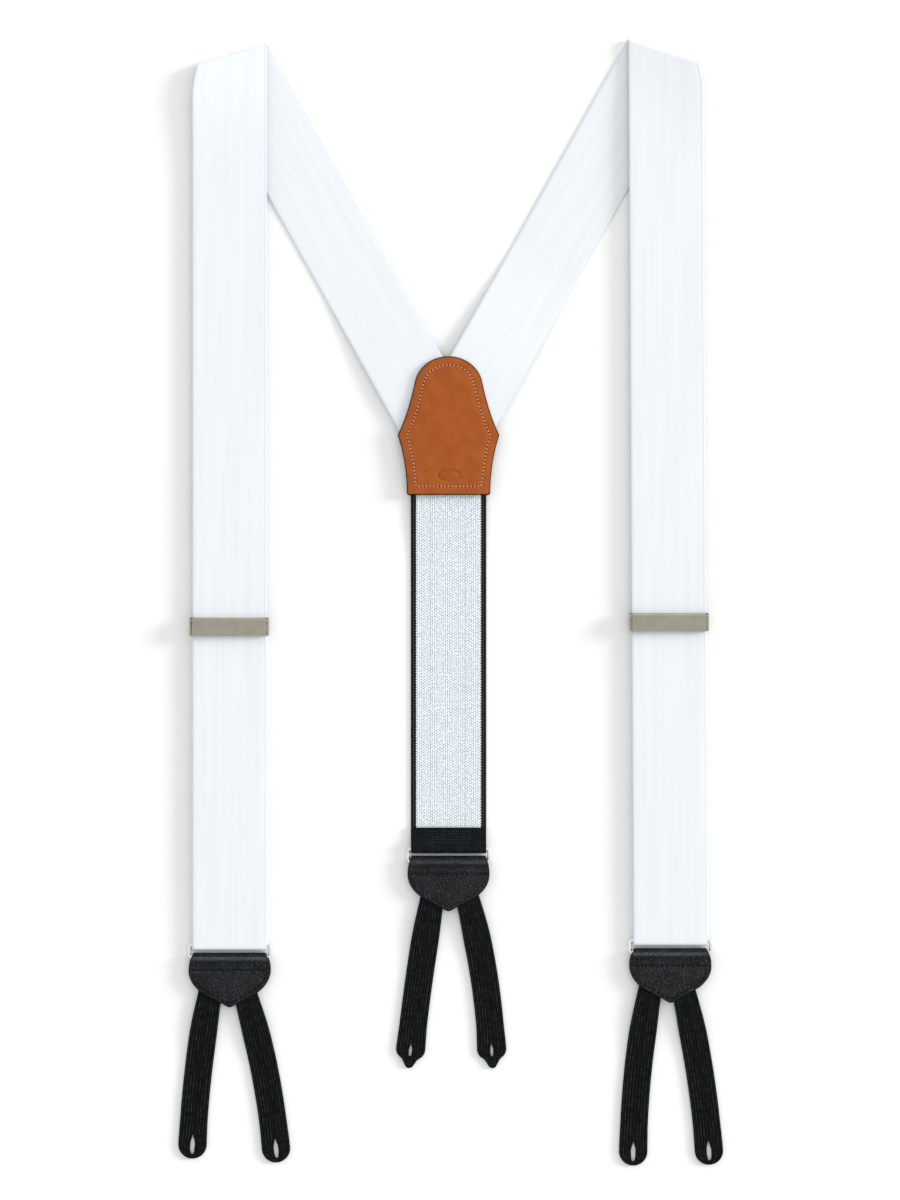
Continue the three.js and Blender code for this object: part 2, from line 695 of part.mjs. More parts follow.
for (const [name, side] of Object.entries(SIDES)) {
  const adjusterY = ADJUSTER_Y + side.rise;
  const top = LEATHER_TOP_Y + side.rise;
  const barY = ringTopY(top);
  const xAt = middleOf(side);
  const adjusterX = xAt(adjusterY);
  const endX = xAt(top);
  braces.add(
    part(`${name}_back_strap`, backStrap(side, patchLayers[name]), WHITE_RIBBON),
    part(`${name}_shoulder_fold`, shoulderFold(side), WHITE_RIBBON),
    part(`${name}_front_strap`, frontStrap(side, barY), WHITE_RIBBON),
    part(`${name}_strap_loop`, strapLoop(xAt, barY), WHITE_RIBBON),
    part(`${name}_strap_return`, strapReturn(xAt, adjusterY, barY), WHITE_RIBBON),
    part(`${name}_hem_stitching`, hemStitching(adjusterX, adjusterY), WHITE_THREAD),
    part(`${name}_adjuster_frame`, adjusterFrame(adjusterX, adjusterY), BRUSHED),
    part(`${name}_adjuster_pin`, adjusterPin(adjusterX, adjusterY), NICKEL),
    part(`${name}_adjuster_lever`, adjusterLever(adjusterX, adjusterY), BRUSHED),
    part(`${name}_ring`, ring(endX, barY), NICKEL),
    part(`${name}_leather_end`, leatherEnd(endX, top, EAR_TOP_HALF.front), BLACK_LEATHER),
    part(`${name}_leather_seam`, earSeam(endX, top), BLACK_THREAD),
  );
  for (const place of ["outer", "inner"]) {
    const tab = `${name}_${place}`;
    braces.add(...tabParts(tab, endX, top, TAB_ROUTES[tab], frontTip, BUTTONHOLE));
  }
}

const backBarY = ringTopY(BACK_LEATHER_TOP_Y);
braces.add(
  part("back_elastic", elasticStrap(backBarY), WHITE_ELASTIC),
  part("back_elastic_hem", elasticHem(backBarY), BLACK_BRAID),
  part("back_elastic_stitching", elasticStitching(PATCH.x, backBarY), BLACK_THREAD),
  part("back_ring", ring(PATCH.x, backBarY), NICKEL),
  part("back_leather_end", leatherEnd(PATCH.x, BACK_LEATHER_TOP_Y, EAR_TOP_HALF.back), BLACK_LEATHER),
  part("back_leather_seam", earSeam(PATCH.x, BACK_LEATHER_TOP_Y), BLACK_THREAD),
);
for (const tab of ["back_left", "back_right"]) {
  braces.add(...tabParts(tab, PATCH.x, BACK_LEATHER_TOP_Y, TAB_ROUTES[tab], backTip, BACK_HOLE));
}

// The origin: in the middle of the whole, on the surface it lies on.
const whole = new THREE.Box3().setFromObject(braces);
const middle = whole.getCenter(new THREE.Vector3());
braces.position.set(-middle.x, -middle.y, -whole.min.z);

export default braces;
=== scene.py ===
"""Button-on dress braces: the looks of every piece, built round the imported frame.

All sizes are in millimetres, in the frame's own axes: X across, Y towards the shoulder folds and Z up from
the surface that the braces lie on. Meshes are written in metres. Each sub-assembly is a class that builds its
pieces, gives them their finish and ties them to their body.
"""

from __future__ import annotations

import logging
import math
from dataclasses import dataclass, field
from enum import Enum
from functools import cache, reduce
from typing import Callable, Iterable, Sequence

import bpy
import numpy as np
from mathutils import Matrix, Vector

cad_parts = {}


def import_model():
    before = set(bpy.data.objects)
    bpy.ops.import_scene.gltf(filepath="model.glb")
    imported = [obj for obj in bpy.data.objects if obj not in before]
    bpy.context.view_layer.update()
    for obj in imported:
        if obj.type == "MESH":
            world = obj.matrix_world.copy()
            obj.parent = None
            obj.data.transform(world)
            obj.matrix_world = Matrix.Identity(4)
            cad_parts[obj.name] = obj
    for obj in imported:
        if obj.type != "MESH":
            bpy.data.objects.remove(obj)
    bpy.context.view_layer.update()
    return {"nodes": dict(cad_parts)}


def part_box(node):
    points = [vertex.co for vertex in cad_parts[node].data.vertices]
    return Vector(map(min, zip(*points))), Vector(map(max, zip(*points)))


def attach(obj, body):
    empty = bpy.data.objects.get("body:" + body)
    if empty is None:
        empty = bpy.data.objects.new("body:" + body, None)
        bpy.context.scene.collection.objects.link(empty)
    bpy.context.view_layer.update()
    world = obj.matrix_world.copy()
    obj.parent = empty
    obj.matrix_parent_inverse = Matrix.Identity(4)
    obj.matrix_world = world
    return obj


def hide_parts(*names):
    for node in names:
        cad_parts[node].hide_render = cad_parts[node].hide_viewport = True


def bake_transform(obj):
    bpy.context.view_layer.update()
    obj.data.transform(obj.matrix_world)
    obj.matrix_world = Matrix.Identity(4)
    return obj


LOG = logging.getLogger("braces")
MM = 0.001
Array = np.ndarray
Socket = bpy.types.NodeSocket
SHARP_ANGLE = math.radians(38)
UP = np.array([0, 0, 1.0])


# ---------------------------------------------------------------- arithmetic on whole arrays


def smoothstep(x: Array | float, low: float, high: float) -> Array:
    """A ramp from 0 at low to 1 at high, level at both ends."""
    t = np.clip((np.asarray(x, float) - low) / (high - low), 0, 1)
    return t * t * (3 - 2 * t)


def round_over(from_edge: Array, depth: float) -> Array:
    """A share of the full height near an edge: a quarter of an ellipse, from 0 at it to 1 at depth."""
    return np.sqrt(np.clip(1 - (1 - np.clip(from_edge / depth, 0, 1)) ** 2, 0, 1))


def unit(v: Array) -> Array:
    """Vectors scaled to length one along the last axis."""
    return v / np.maximum(np.linalg.norm(v, axis=-1, keepdims=True), 1e-12)


def tangents(path: Array, closed: bool = False) -> Array:
    """Unit directions along a path of points, from each point's neighbours."""
    if closed:
        return unit(np.roll(path, -1, 0) - np.roll(path, 1, 0))
    return unit(np.gradient(path, axis=0))


def travelled(path: Array) -> Array:
    """Distance from the path's start at each of its points."""
    steps = np.linalg.norm(np.diff(path, axis=0), axis=1)
    return np.concatenate([[0.0], np.cumsum(steps)])


def resampled(path: Array, spacing: float) -> Array:
    """The path with points at even spacing, straight between the ones given."""
    along = travelled(path)
    count = max(2, int(round(along[-1] / spacing)) + 1)
    at = np.linspace(0, along[-1], count)
    return np.stack([np.interp(at, along, path[:, k]) for k in range(path.shape[1])], 1)


def distance_to_line(points: Array, line: Array) -> Array:
    """Least distance in the plane from each point to a line of straight pieces.

    Args:
        points: (n, 2) places.
        line: (m, 2) corners of the line.

    Returns:
        (n,) distances.
    """
    a, b = line[:-1], line[1:]
    d = b - a
    length2 = np.maximum((d**2).sum(1), 1e-12)
    t = np.clip(((points[:, None] - a) * d).sum(2) / length2, 0, 1)
    nearest = a + t[..., None] * d
    return np.sqrt(((points[:, None] - nearest) ** 2).sum(2).min(1))


# ---------------------------------------------------------------- meshes


def linked(name: str, data: bpy.types.ID) -> bpy.types.Object:
    """A new object in the scene, round its mesh, light or camera."""
    made = bpy.data.objects.new(name, data)
    bpy.context.scene.collection.objects.link(made)
    return made


def grid_faces(rows: int, columns: int, wrap_rows: bool = False, wrap_columns: bool = False) -> Array:
    """Quads of a grid whose vertices are numbered row by row.

    Args:
        rows: number of rows of vertices.
        columns: number of vertices in a row.
        wrap_rows: whether the last row joins the first.
        wrap_columns: whether a row's last vertex joins its first.

    Returns:
        (n, 4) vertex numbers.
    """
    r = np.arange(rows if wrap_rows else rows - 1)
    c = np.arange(columns if wrap_columns else columns - 1)
    r, c = (m.ravel() for m in np.meshgrid(r, c, indexing="ij"))
    r2, c2 = (r + 1) % rows, (c + 1) % columns
    return np.stack([r * columns + c, r2 * columns + c, r2 * columns + c2, r * columns + c2], 1)


def signed_volume(points: Array, faces: Array) -> float:
    """Volume inside quads, positive when they face outwards."""
    p = points[faces]
    centre = points.mean(0)
    p = p - centre
    first = np.einsum("ij,ij->i", p[:, 0], np.cross(p[:, 1], p[:, 2]))
    second = np.einsum("ij,ij->i", p[:, 0], np.cross(p[:, 2], p[:, 3]))
    return float((first + second).sum() / 6)


@dataclass
class Skin:
    """A closed surface on its way to a mesh: points, quads, end faces, cloth places and face materials."""

    points: Array
    quads: Array
    caps: list[list[int]] = field(default_factory=list)
    cloth: Array | None = None
    marks: dict[str, Array] = field(default_factory=dict)
    slots: Array | None = None

    def merged(self, other: "Skin") -> "Skin":
        """This skin and another as one."""
        shift = len(self.points)
        caps = self.caps + [[i + shift for i in cap] for cap in other.caps]
        points = np.concatenate([self.points, other.points])
        quads = np.concatenate([self.quads, other.quads + shift])
        return Skin(points, quads, caps)

    def build(self, name: str, looks: Sequence["Look"], sharp: bool = True) -> bpy.types.Object:
        """Makes the object, in metres, its faces turned outwards.

        Args:
            name: the piece's name.
            looks: its finishes, in the order that slots numbers them.
            sharp: whether edges over the sharp angle stay crisp.

        Returns:
            The linked object.
        """
        quads, caps = self.quads, self.caps
        if signed_volume(self.points, quads) < 0:
            quads = quads[:, ::-1]
            caps = [cap[::-1] for cap in caps]
        mesh = bpy.data.meshes.new(name)
        mesh.from_pydata((self.points * MM).tolist(), [], quads.tolist() + caps)
        mesh.update()
        corner = np.zeros(len(mesh.loops), np.int32)
        mesh.loops.foreach_get("vertex_index", corner)
        if self.cloth is not None:
            layer = mesh.uv_layers.new(name="cloth")
            layer.data.foreach_set("uv", self.cloth[corner].astype(np.float32).ravel())
        for title, values in self.marks.items():
            attribute = mesh.attributes.new(title, "FLOAT", "POINT")
            attribute.data.foreach_set("value", values.astype(np.float32))
        for look in looks:
            mesh.materials.append(look.material)
        if self.slots is not None:
            spread = np.concatenate([self.slots, np.zeros(len(caps), int)])
            mesh.polygons.foreach_set("material_index", spread.astype(np.int32))
        mesh.polygons.foreach_set("use_smooth", np.ones(len(mesh.polygons), bool))
        if sharp:
            mesh.set_sharp_from_angle(angle=SHARP_ANGLE)
        return linked(name, mesh)


def swept(sections: Array, closed: bool = False) -> Skin:
    """A tube through closed sections, (stations, around, 3), with flat ends unless the path is closed."""
    rows, around, _ = sections.shape
    quads = grid_faces(rows, around, wrap_rows=closed, wrap_columns=True)[:, ::-1]
    ends = [list(range(around)), list(range((rows - 1) * around, rows * around))[::-1]]
    return Skin(sections.reshape(-1, 3), quads, [] if closed else ends)


def across_places(count: int, edge: float, width: float) -> Array:
    """Places from 0 to 1 across a strap, closer together at its two edges.

    Args:
        count: places between the edges.
        edge: depth of the rounded edge in mm.
        width: the strap's width in mm.

    Returns:
        The places, from 0 to 1.
    """
    turn = edge / width * (1 - np.cos(np.linspace(0, np.pi / 2, 5)))
    middle = np.linspace(edge / width, 1 - edge / width, count)
    return np.concatenate([turn[:-1], middle, 1 - turn[:-1][::-1]])


@dataclass
class StrapSection:
    """How a flat strap is thick: its edges are rounded, and a relief can lie on its face and its back."""

    thick: float
    edge: float = 0.35
    count: int = 15
    face: Callable[[Array, Array], Array] | None = None
    back: Callable[[Array, Array], Array] | None = None

    def skin(self, left: Array, right: Array, up: Array, start: float = 0.0) -> Skin:
        """The strap between two edge lines.

        A point of its face is left + c (right - left) + up h(c), where c runs from 0 to 1 across it and h is
        half the thickness, falling to nothing at the edges as a quarter of an ellipse does. The back is the
        same with -h.

        Args:
            left: (n, 3) line of the left edge.
            right: (n, 3) line of the right edge.
            up: (n, 3) unit directions out of the face.
            start: the cloth's length before the first station.

        Returns:
            The skin, with cloth places (across, along) in mm.
        """
        width = float(np.linalg.norm(right - left, axis=1).mean())
        c = across_places(self.count, self.edge, width)
        along = start + travelled((left + right) / 2)
        s = np.repeat(along[:, None], len(c), 1)
        across = np.repeat(c[None], len(along), 0)
        from_edge = np.minimum(c, 1 - c) * width
        half = self.thick / 2 * round_over(from_edge, self.edge)
        top = np.repeat(half[None], len(along), 0)
        bottom = top.copy()
        if self.face:
            top = top + self.face(across, s) * (half / half.max())
        if self.back:
            bottom = bottom + self.back(across, s) * (half / half.max())
        line = left[:, None] + c[None, :, None] * (right - left)[:, None]
        face = line + up[:, None] * top[..., None]
        back = (line - up[:, None] * bottom[..., None])[:, 1:-1][:, ::-1]
        skin = swept(np.concatenate([face, back], 1))
        places = np.concatenate([across, across[:, 1:-1][:, ::-1]], 1) * width
        lengths = np.repeat(along[:, None], places.shape[1], 1)
        skin.cloth = np.stack([places.ravel(), lengths.ravel()], 1)
        around = places.shape[1]
        on_back = np.arange(len(skin.quads)) % around >= len(c) - 1
        skin.slots = on_back.astype(int)
        return skin


def level_strap(x: Callable[[Array], Array] | float, width: float, profile: Array) -> tuple[Array, Array]:
    """Edge lines of a strap that runs along Y.

    Args:
        x: the middle's x, or a function that gives it from y.
        width: the strap's width.
        profile: (n, 2) places (y, z) of its middle.

    Returns:
        Left edge and right edge.
    """
    y, z = profile[:, 0], profile[:, 1]
    middle = np.broadcast_to(x(y) if callable(x) else x, y.shape)
    left = np.stack([middle - width / 2, y, z], 1)
    right = np.stack([middle + width / 2, y, z], 1)
    return left, right


def rounded_corners(points: Array, radius: float, steps: int = 6) -> Array:
    """An open line with each inner corner turned into a curve: a parabola between points radius from it."""
    out = [points[:1]]
    for before, corner, after in zip(points[:-2], points[1:-1], points[2:]):
        reach_in = min(radius, np.linalg.norm(corner - before) * 0.45)
        reach_out = min(radius, np.linalg.norm(after - corner) * 0.45)
        a = corner + unit(before - corner) * reach_in
        b = corner + unit(after - corner) * reach_out
        t = np.linspace(0, 1, steps)[:, None]
        out.append((1 - t) ** 2 * a + 2 * t * (1 - t) * corner + t**2 * b)
    out.append(points[-1:])
    return np.concatenate(out)


def capsules(centres: Array, along: Array, up: Array, length: float, radius: float, flat: float) -> Skin:
    """Many small stitches as one skin, each a rod with round ends.

    A stitch is a circle of eight points carried along its length, its radius following half an ellipse.

    Args:
        centres: (n, 3) middles.
        along: (n, 3) unit directions of their lengths.
        up: (n, 3) unit directions out of the cloth.
        length: length of one stitch.
        radius: its radius across.
        flat: its height as a share of its radius.

    Returns:
        The skin of all of them.
    """
    t = np.cos(np.linspace(np.pi, 0, 7))
    girth = np.sqrt(np.clip(1 - t**6, 0.02, 1)) * radius
    turn = np.linspace(0, 2 * np.pi, 8, endpoint=False)
    side = unit(np.cross(up, along))
    out = centres[:, None, None] + along[:, None, None] * (t * length / 2)[None, :, None, None]
    out = out + side[:, None, None] * (girth[:, None] * np.cos(turn))[None, ..., None]
    out = out + up[:, None, None] * (girth[:, None] * np.sin(turn) * flat)[None, ..., None]
    rows, around = len(t), len(turn)
    one = grid_faces(rows, around, wrap_columns=True)
    each = rows * around
    quads = (one[None] + (np.arange(len(centres)) * each)[:, None, None]).reshape(-1, 4)
    caps = []
    for i in range(len(centres)):
        first = i * each
        caps.append(list(range(first, first + around)))
        caps.append(list(range(first + each - around, first + each))[::-1])
    return Skin(out.reshape(-1, 3), quads, caps)


def stitch_row(path: Array, pitch: float, length: float, radius: float, up: Array, flat: float = 0.7,
               slant: float = 0.0) -> Skin:
    """Stitches along a line of points.

    Args:
        path: (n, 3) line that they follow.
        pitch: distance from one to the next.
        length: length of one.
        radius: radius of the thread.
        up: direction out of the cloth.
        flat: height as a share of the radius.
        slant: how far each turns from the line, in radians.

    Returns:
        The skin of all of them.
    """
    line = resampled(path, pitch)
    middles = (line[1:] + line[:-1]) / 2
    way = unit(line[1:] - line[:-1])
    ups = np.broadcast_to(up, way.shape)
    side = np.cross(ups, way)
    way = unit(way * math.cos(slant) + side * math.sin(slant))
    return capsules(middles, way, ups, length, radius, flat)


# ---------------------------------------------------------------- shader tools


class Wiring:
    """A node tree being wired: makes nodes, sets their sockets and links them."""

    def __init__(self, tree: bpy.types.NodeTree) -> None:
        """Keeps the tree."""
        self.tree = tree

    def node(self, kind: str, **settings: object) -> bpy.types.Node:
        """A new node.

        Args:
            kind: its Blender type name.
            settings: its properties by name; a socket is set through put().

        Returns:
            The node.
        """
        made = self.tree.nodes.new(kind)
        for key, value in settings.items():
            setattr(made, key, value)
        return made

    def put(self, socket: Socket, value: object) -> None:
        """Links a socket to another socket, or sets its value."""
        if isinstance(value, Socket):
            self.tree.links.new(value, socket)
        else:
            socket.default_value = value

    def maths(self, operation: str, *values: object) -> Socket:
        """The result of a Math node on the values."""
        made = self.node("ShaderNodeMath", operation=operation)
        for socket, value in zip(made.inputs, values):
            self.put(socket, value)
        return made.outputs[0]

    def ramp(self, value: object, low: float, high: float, start: float = 0.0, end: float = 1.0) -> Socket:
        """A smooth ramp of value, from start at low to end at high."""
        made = self.node("ShaderNodeMapRange", interpolation_type="SMOOTHSTEP")
        for socket, entry in zip(made.inputs[:5], (value, low, high, start, end)):
            self.put(socket, entry)
        return made.outputs[0]

    def mix(self, share: object, a: object, b: object) -> Socket:
        """Colour a turning into colour b as share goes from 0 to 1."""
        made = self.node("ShaderNodeMix", data_type="RGBA")
        self.put(made.inputs["Factor"], share)
        self.put(made.inputs[6], a)
        self.put(made.inputs[7], b)
        return made.outputs[2]

    def scaled(self, vector: object, scale: Sequence[float]) -> Socket:
        """A place times a scale on each axis."""
        made = self.node("ShaderNodeVectorMath", operation="MULTIPLY")
        self.put(made.inputs[0], vector)
        made.inputs[1].default_value = scale
        return made.outputs[0]

    def noise(self, vector: object, scale: float, detail: float = 2.0, rough: float = 0.5) -> Socket:
        """Soft noise from 0 to 1."""
        made = self.node("ShaderNodeTexNoise")
        self.put(made.inputs["Vector"], vector)
        made.inputs["Scale"].default_value = scale
        made.inputs["Detail"].default_value = detail
        made.inputs["Roughness"].default_value = rough
        return made.outputs["Fac"]

    def bump(self, height: object, strength: float, depth: float) -> Socket:
        """A Bump node's normal. depth is in mm."""
        made = self.node("ShaderNodeBump")
        made.inputs["Strength"].default_value = strength
        made.inputs["Distance"].default_value = depth * MM
        self.put(made.inputs["Height"], height)
        return made.outputs[0]

    def group(self, tree: bpy.types.NodeTree, **values: object) -> bpy.types.Node:
        """A shared node group placed here, with its inputs set."""
        made = self.node("ShaderNodeGroup", node_tree=tree)
        for key, value in values.items():
            self.put(made.inputs[key], value)
        return made

    def axes(self, vector: object) -> bpy.types.NodeOutputs:
        """The three parts of a vector, as sockets."""
        made = self.node("ShaderNodeSeparateXYZ")
        self.put(made.inputs[0], vector)
        return made.outputs

    def attribute(self, name: str) -> Socket:
        """One of the piece's marks, as a value."""
        return self.node("ShaderNodeAttribute", attribute_name=name).outputs["Fac"]

    def object_place(self) -> Socket:
        """The place in the frame, in mm."""
        coordinates = self.node("ShaderNodeTexCoord")
        return self.scaled(coordinates.outputs["Object"], (1 / MM,) * 3)

    def cloth_place(self) -> Socket:
        """The place on the cloth, (across, along) in mm."""
        return self.node("ShaderNodeUVMap", uv_map="cloth").outputs[0]


class SharedGroups:
    """Effects that several finishes use, each a node group that is built once and kept."""

    @classmethod
    def _new(
        cls, name: str, inputs: Iterable[tuple[str, str, float]], outputs: Iterable[str]
    ) -> tuple[bpy.types.NodeTree, Wiring, bpy.types.Node, bpy.types.Node]:
        """A group tree with its sockets: the tree, the wiring for it, its input node and its output node."""
        tree = bpy.data.node_groups.new(name, "ShaderNodeTree")
        for title, kind, value in inputs:
            socket = tree.interface.new_socket(title, in_out="INPUT", socket_type=kind)
            if kind == "NodeSocketFloat":
                socket.default_value = value
        for title in outputs:
            tree.interface.new_socket(title, in_out="OUTPUT", socket_type="NodeSocketFloat")
        wiring = Wiring(tree)
        return tree, wiring, wiring.node("NodeGroupInput"), wiring.node("NodeGroupOutput")

    @classmethod
    @cache
    def grain(cls) -> bpy.types.NodeTree:
        """Leather grain: pebbles between fine creases, and slow mottling.

        Inputs are Place in mm and Pebble, a pebble's size in mm. Outputs are Height and Mottle, 0 to 1.
        """
        sockets = [("Place", "NodeSocketVector", 0), ("Pebble", "NodeSocketFloat", 1.0)]
        tree, w, given, result = cls._new("leather_grain", sockets, ["Height", "Mottle"])
        per = w.maths("DIVIDE", 1.0, given.outputs["Pebble"])
        place = w.node("ShaderNodeVectorMath", operation="SCALE")
        w.put(place.inputs[0], given.outputs["Place"])
        w.put(place.inputs["Scale"], per)
        wobble = w.node("ShaderNodeTexNoise")
        w.put(wobble.inputs["Vector"], place.outputs[0])
        wobble.inputs["Scale"].default_value = 0.9
        moved = w.node("ShaderNodeVectorMath", operation="MULTIPLY_ADD")
        w.put(moved.inputs[0], wobble.outputs["Color"])
        moved.inputs[1].default_value = (0.9, 0.9, 0.9)
        w.put(moved.inputs[2], place.outputs[0])
        cells = w.node("ShaderNodeTexVoronoi", feature="DISTANCE_TO_EDGE")
        w.put(cells.inputs["Vector"], moved.outputs[0])
        cells.inputs["Scale"].default_value = 1.0
        pebbles = w.ramp(cells.outputs["Distance"], 0.0, 0.28)
        fine = w.noise(place.outputs[0], 4.0, 4.0, 0.6)
        height = w.maths("MULTIPLY_ADD", fine, 0.35, w.maths("MULTIPLY", pebbles, 0.65))
        w.put(result.inputs["Height"], height)
        w.put(result.inputs["Mottle"], w.noise(given.outputs["Place"], 0.16, 5.0, 0.62))
        return tree

    @classmethod
    @cache
    def weave(cls) -> bpy.types.NodeTree:
        """Woven or knitted cloth: threads over and under each other.

        The height is |cos| of the place along, in phase for one thread and out of phase for the next.
        Inputs are Place in mm and the two pitches in mm. The outputs are Height and Thread, 0 to 1.
        """
        sockets = [
            ("Place", "NodeSocketVector", 0),
            ("Across", "NodeSocketFloat", 0.5),
            ("Along", "NodeSocketFloat", 0.5),
        ]
        tree, w, given, result = cls._new("cloth_weave", sockets, ["Height", "Thread"])
        x, y, _ = w.axes(given.outputs["Place"])
        u = w.maths("DIVIDE", x, given.outputs["Across"])
        v = w.maths("DIVIDE", y, given.outputs["Along"])
        column = w.maths("FLOOR", u)
        odd = w.maths("MULTIPLY", w.maths("MODULO", column, 2.0), 0.5)
        wave = w.maths("ABSOLUTE", w.maths("SINE", w.maths("MULTIPLY", w.maths("ADD", v, odd), math.pi)))
        round_thread = w.maths("SINE", w.maths("MULTIPLY", w.maths("FRACT", u), math.pi))
        w.put(result.inputs["Height"], w.maths("MULTIPLY", wave, round_thread))
        w.put(result.inputs["Thread"], wave)
        return tree

    @classmethod
    @cache
    def streaks(cls) -> bpy.types.NodeTree:
        """Long soft streaks: noise drawn out along the second axis. Inputs Place, Wide and Long in mm."""
        sockets = [
            ("Place", "NodeSocketVector", 0),
            ("Wide", "NodeSocketFloat", 3.0),
            ("Long", "NodeSocketFloat", 60.0),
        ]
        tree, w, given, result = cls._new("long_streaks", sockets, ["Streak"])
        drawn = w.node("ShaderNodeCombineXYZ")
        for socket, part, size in zip(drawn.inputs, w.axes(given.outputs["Place"]), ("Wide", "Long", "Wide")):
            w.put(socket, w.maths("DIVIDE", part, given.outputs[size]))
        w.put(result.inputs["Streak"], w.noise(drawn.outputs[0], 1.0, 4.0, 0.6))
        return tree


Colour = tuple[float, float, float, float]


def tint(red: int, green: int, blue: int) -> Colour:
    """A colour as it looks on a screen, 0 to 255, as the shader's own linear values."""
    shares = (red / 255, green / 255, blue / 255)
    linear = [share / 12.92 if share <= 10 / 255 else ((share + 0.055) / 1.055) ** 2.4 for share in shares]
    return (*linear, 1.0)


class Finish:
    """What all finishes share: a material is made once, and its shader is kept in it."""

    name: str

    def wire(self, w: Wiring, shader: bpy.types.Node) -> None:
        """Wires the shader's inputs."""
        raise NotImplementedError

    def material(self) -> bpy.types.Material:
        """The finish's material, made at the first call, under a name that no slot of the frame has."""
        title = f"{self.name}_finish"
        found = bpy.data.materials.get(title)
        if found:
            return found
        made = bpy.data.materials.new(title)
        made.use_nodes = True
        self.wire(Wiring(made.node_tree), made.node_tree.nodes["Principled BSDF"])
        return made


@dataclass(frozen=True)
class RibbonFinish(Finish):
    """White dress ribbon: fine cross ribs, watered streaks along it and a firm selvage at each edge."""

    name: str = "white_ribbon"
    light: Colour = tint(232, 236, 240)
    shade: Colour = tint(227, 232, 237)
    selvage: Colour = tint(217, 223, 229)
    width: float = 36.0

    def wire(self, w: Wiring, shader: bpy.types.Node) -> None:
        """Streaks tint the cloth, ribs and watering raise it."""
        place = w.cloth_place()
        streak = w.group(SharedGroups.streaks(), Place=place, Wide=3.2, Long=85.0).outputs[0]
        watering = w.group(SharedGroups.streaks(), Place=place, Wide=1.1, Long=9.0).outputs[0]
        weave = w.group(SharedGroups.weave(), Place=place, Across=0.34, Along=0.62)
        from_middle = w.maths("ABSOLUTE", w.maths("SUBTRACT", w.axes(place)[0], self.width / 2))
        edge = w.ramp(from_middle, self.width / 2 - 1.1, self.width / 2 - 0.7)
        tone = w.mix(w.ramp(streak, 0.36, 0.66), self.light, self.shade)
        tone = w.mix(w.maths("MULTIPLY", w.ramp(watering, 0.45, 0.7), 0.25), tone, self.shade)
        w.put(shader.inputs["Base Color"], w.mix(edge, tone, self.selvage))
        height = w.maths("MULTIPLY_ADD", watering, 0.8, w.maths("MULTIPLY", weave.outputs["Height"], 0.35))
        w.put(shader.inputs["Normal"], w.bump(height, 0.25, 0.12))
        w.put(shader.inputs["Roughness"], w.ramp(watering, 0.3, 0.7, 0.46, 0.6))
        shader.inputs["Sheen Weight"].default_value = 0.15
        shader.inputs["Sheen Roughness"].default_value = 0.4


@dataclass(frozen=True)
class ElasticFaceFinish(Finish):
    """The elastic's face: white knit with small ticks, and a black border with a toothed inner edge."""

    name: str = "elastic_face"
    white: Colour = tint(236, 243, 247)
    tick: Colour = tint(122, 136, 148)
    black: Colour = tint(4, 6, 7)
    line: Colour = tint(50, 54, 56)
    width: float = 36.6
    border: float = 2.3
    line_in: float = 1.35
    tooth: float = 0.55
    tooth_pitch: float = 1.3

    def wire(self, w: Wiring, shader: bpy.types.Node) -> None:
        """Ticks and columns mark the white, teeth cut the border, and the knit raises all of it."""
        place = w.cloth_place()
        u, v, _ = w.axes(place)
        knit = w.group(SharedGroups.weave(), Place=place, Across=0.8, Along=1.2)
        saw = w.maths("PINGPONG", v, self.tooth_pitch / 2)
        from_middle = w.maths("ABSOLUTE", w.maths("SUBTRACT", u, self.width / 2))
        from_edge = w.maths("SUBTRACT", self.width / 2, from_middle)
        reach = w.maths("MULTIPLY_ADD", saw, 2 * self.tooth / self.tooth_pitch, self.border)
        inside = w.maths("SUBTRACT", from_edge, reach)
        field_mask = w.ramp(inside, -0.06, 0.06)
        marks = w.group(SharedGroups.weave(), Place=place, Across=1.05, Along=1.35)
        ticks = w.ramp(marks.outputs["Height"], 0.34, 0.1)
        some = w.ramp(w.noise(place, 1.3, 2.0), 0.38, 0.54)
        speck = w.maths("MULTIPLY", ticks, some)
        for column in (9.6, 26.6):
            off = w.maths("ABSOLUTE", w.maths("SUBTRACT", u, column))
            dotted = w.maths("MULTIPLY", w.ramp(off, 0.45, 0.15), w.ramp(knit.outputs["Thread"], 0.6, 0.3))
            speck = w.maths("MAXIMUM", speck, w.maths("MULTIPLY", dotted, 0.7))
        white = w.mix(speck, self.white, self.tick)
        off_line = w.maths("ABSOLUTE", w.maths("SUBTRACT", from_edge, self.line_in))
        border = w.mix(w.ramp(off_line, 0.34, 0.2), self.black, self.line)
        w.put(shader.inputs["Base Color"], w.mix(field_mask, border, white))
        w.put(shader.inputs["Normal"], w.bump(knit.outputs["Height"], 0.5, 0.25))
        w.put(shader.inputs["Roughness"], w.ramp(field_mask, 0, 1, 0.7, 0.85))
        shader.inputs["Specular IOR Level"].default_value = 0.12


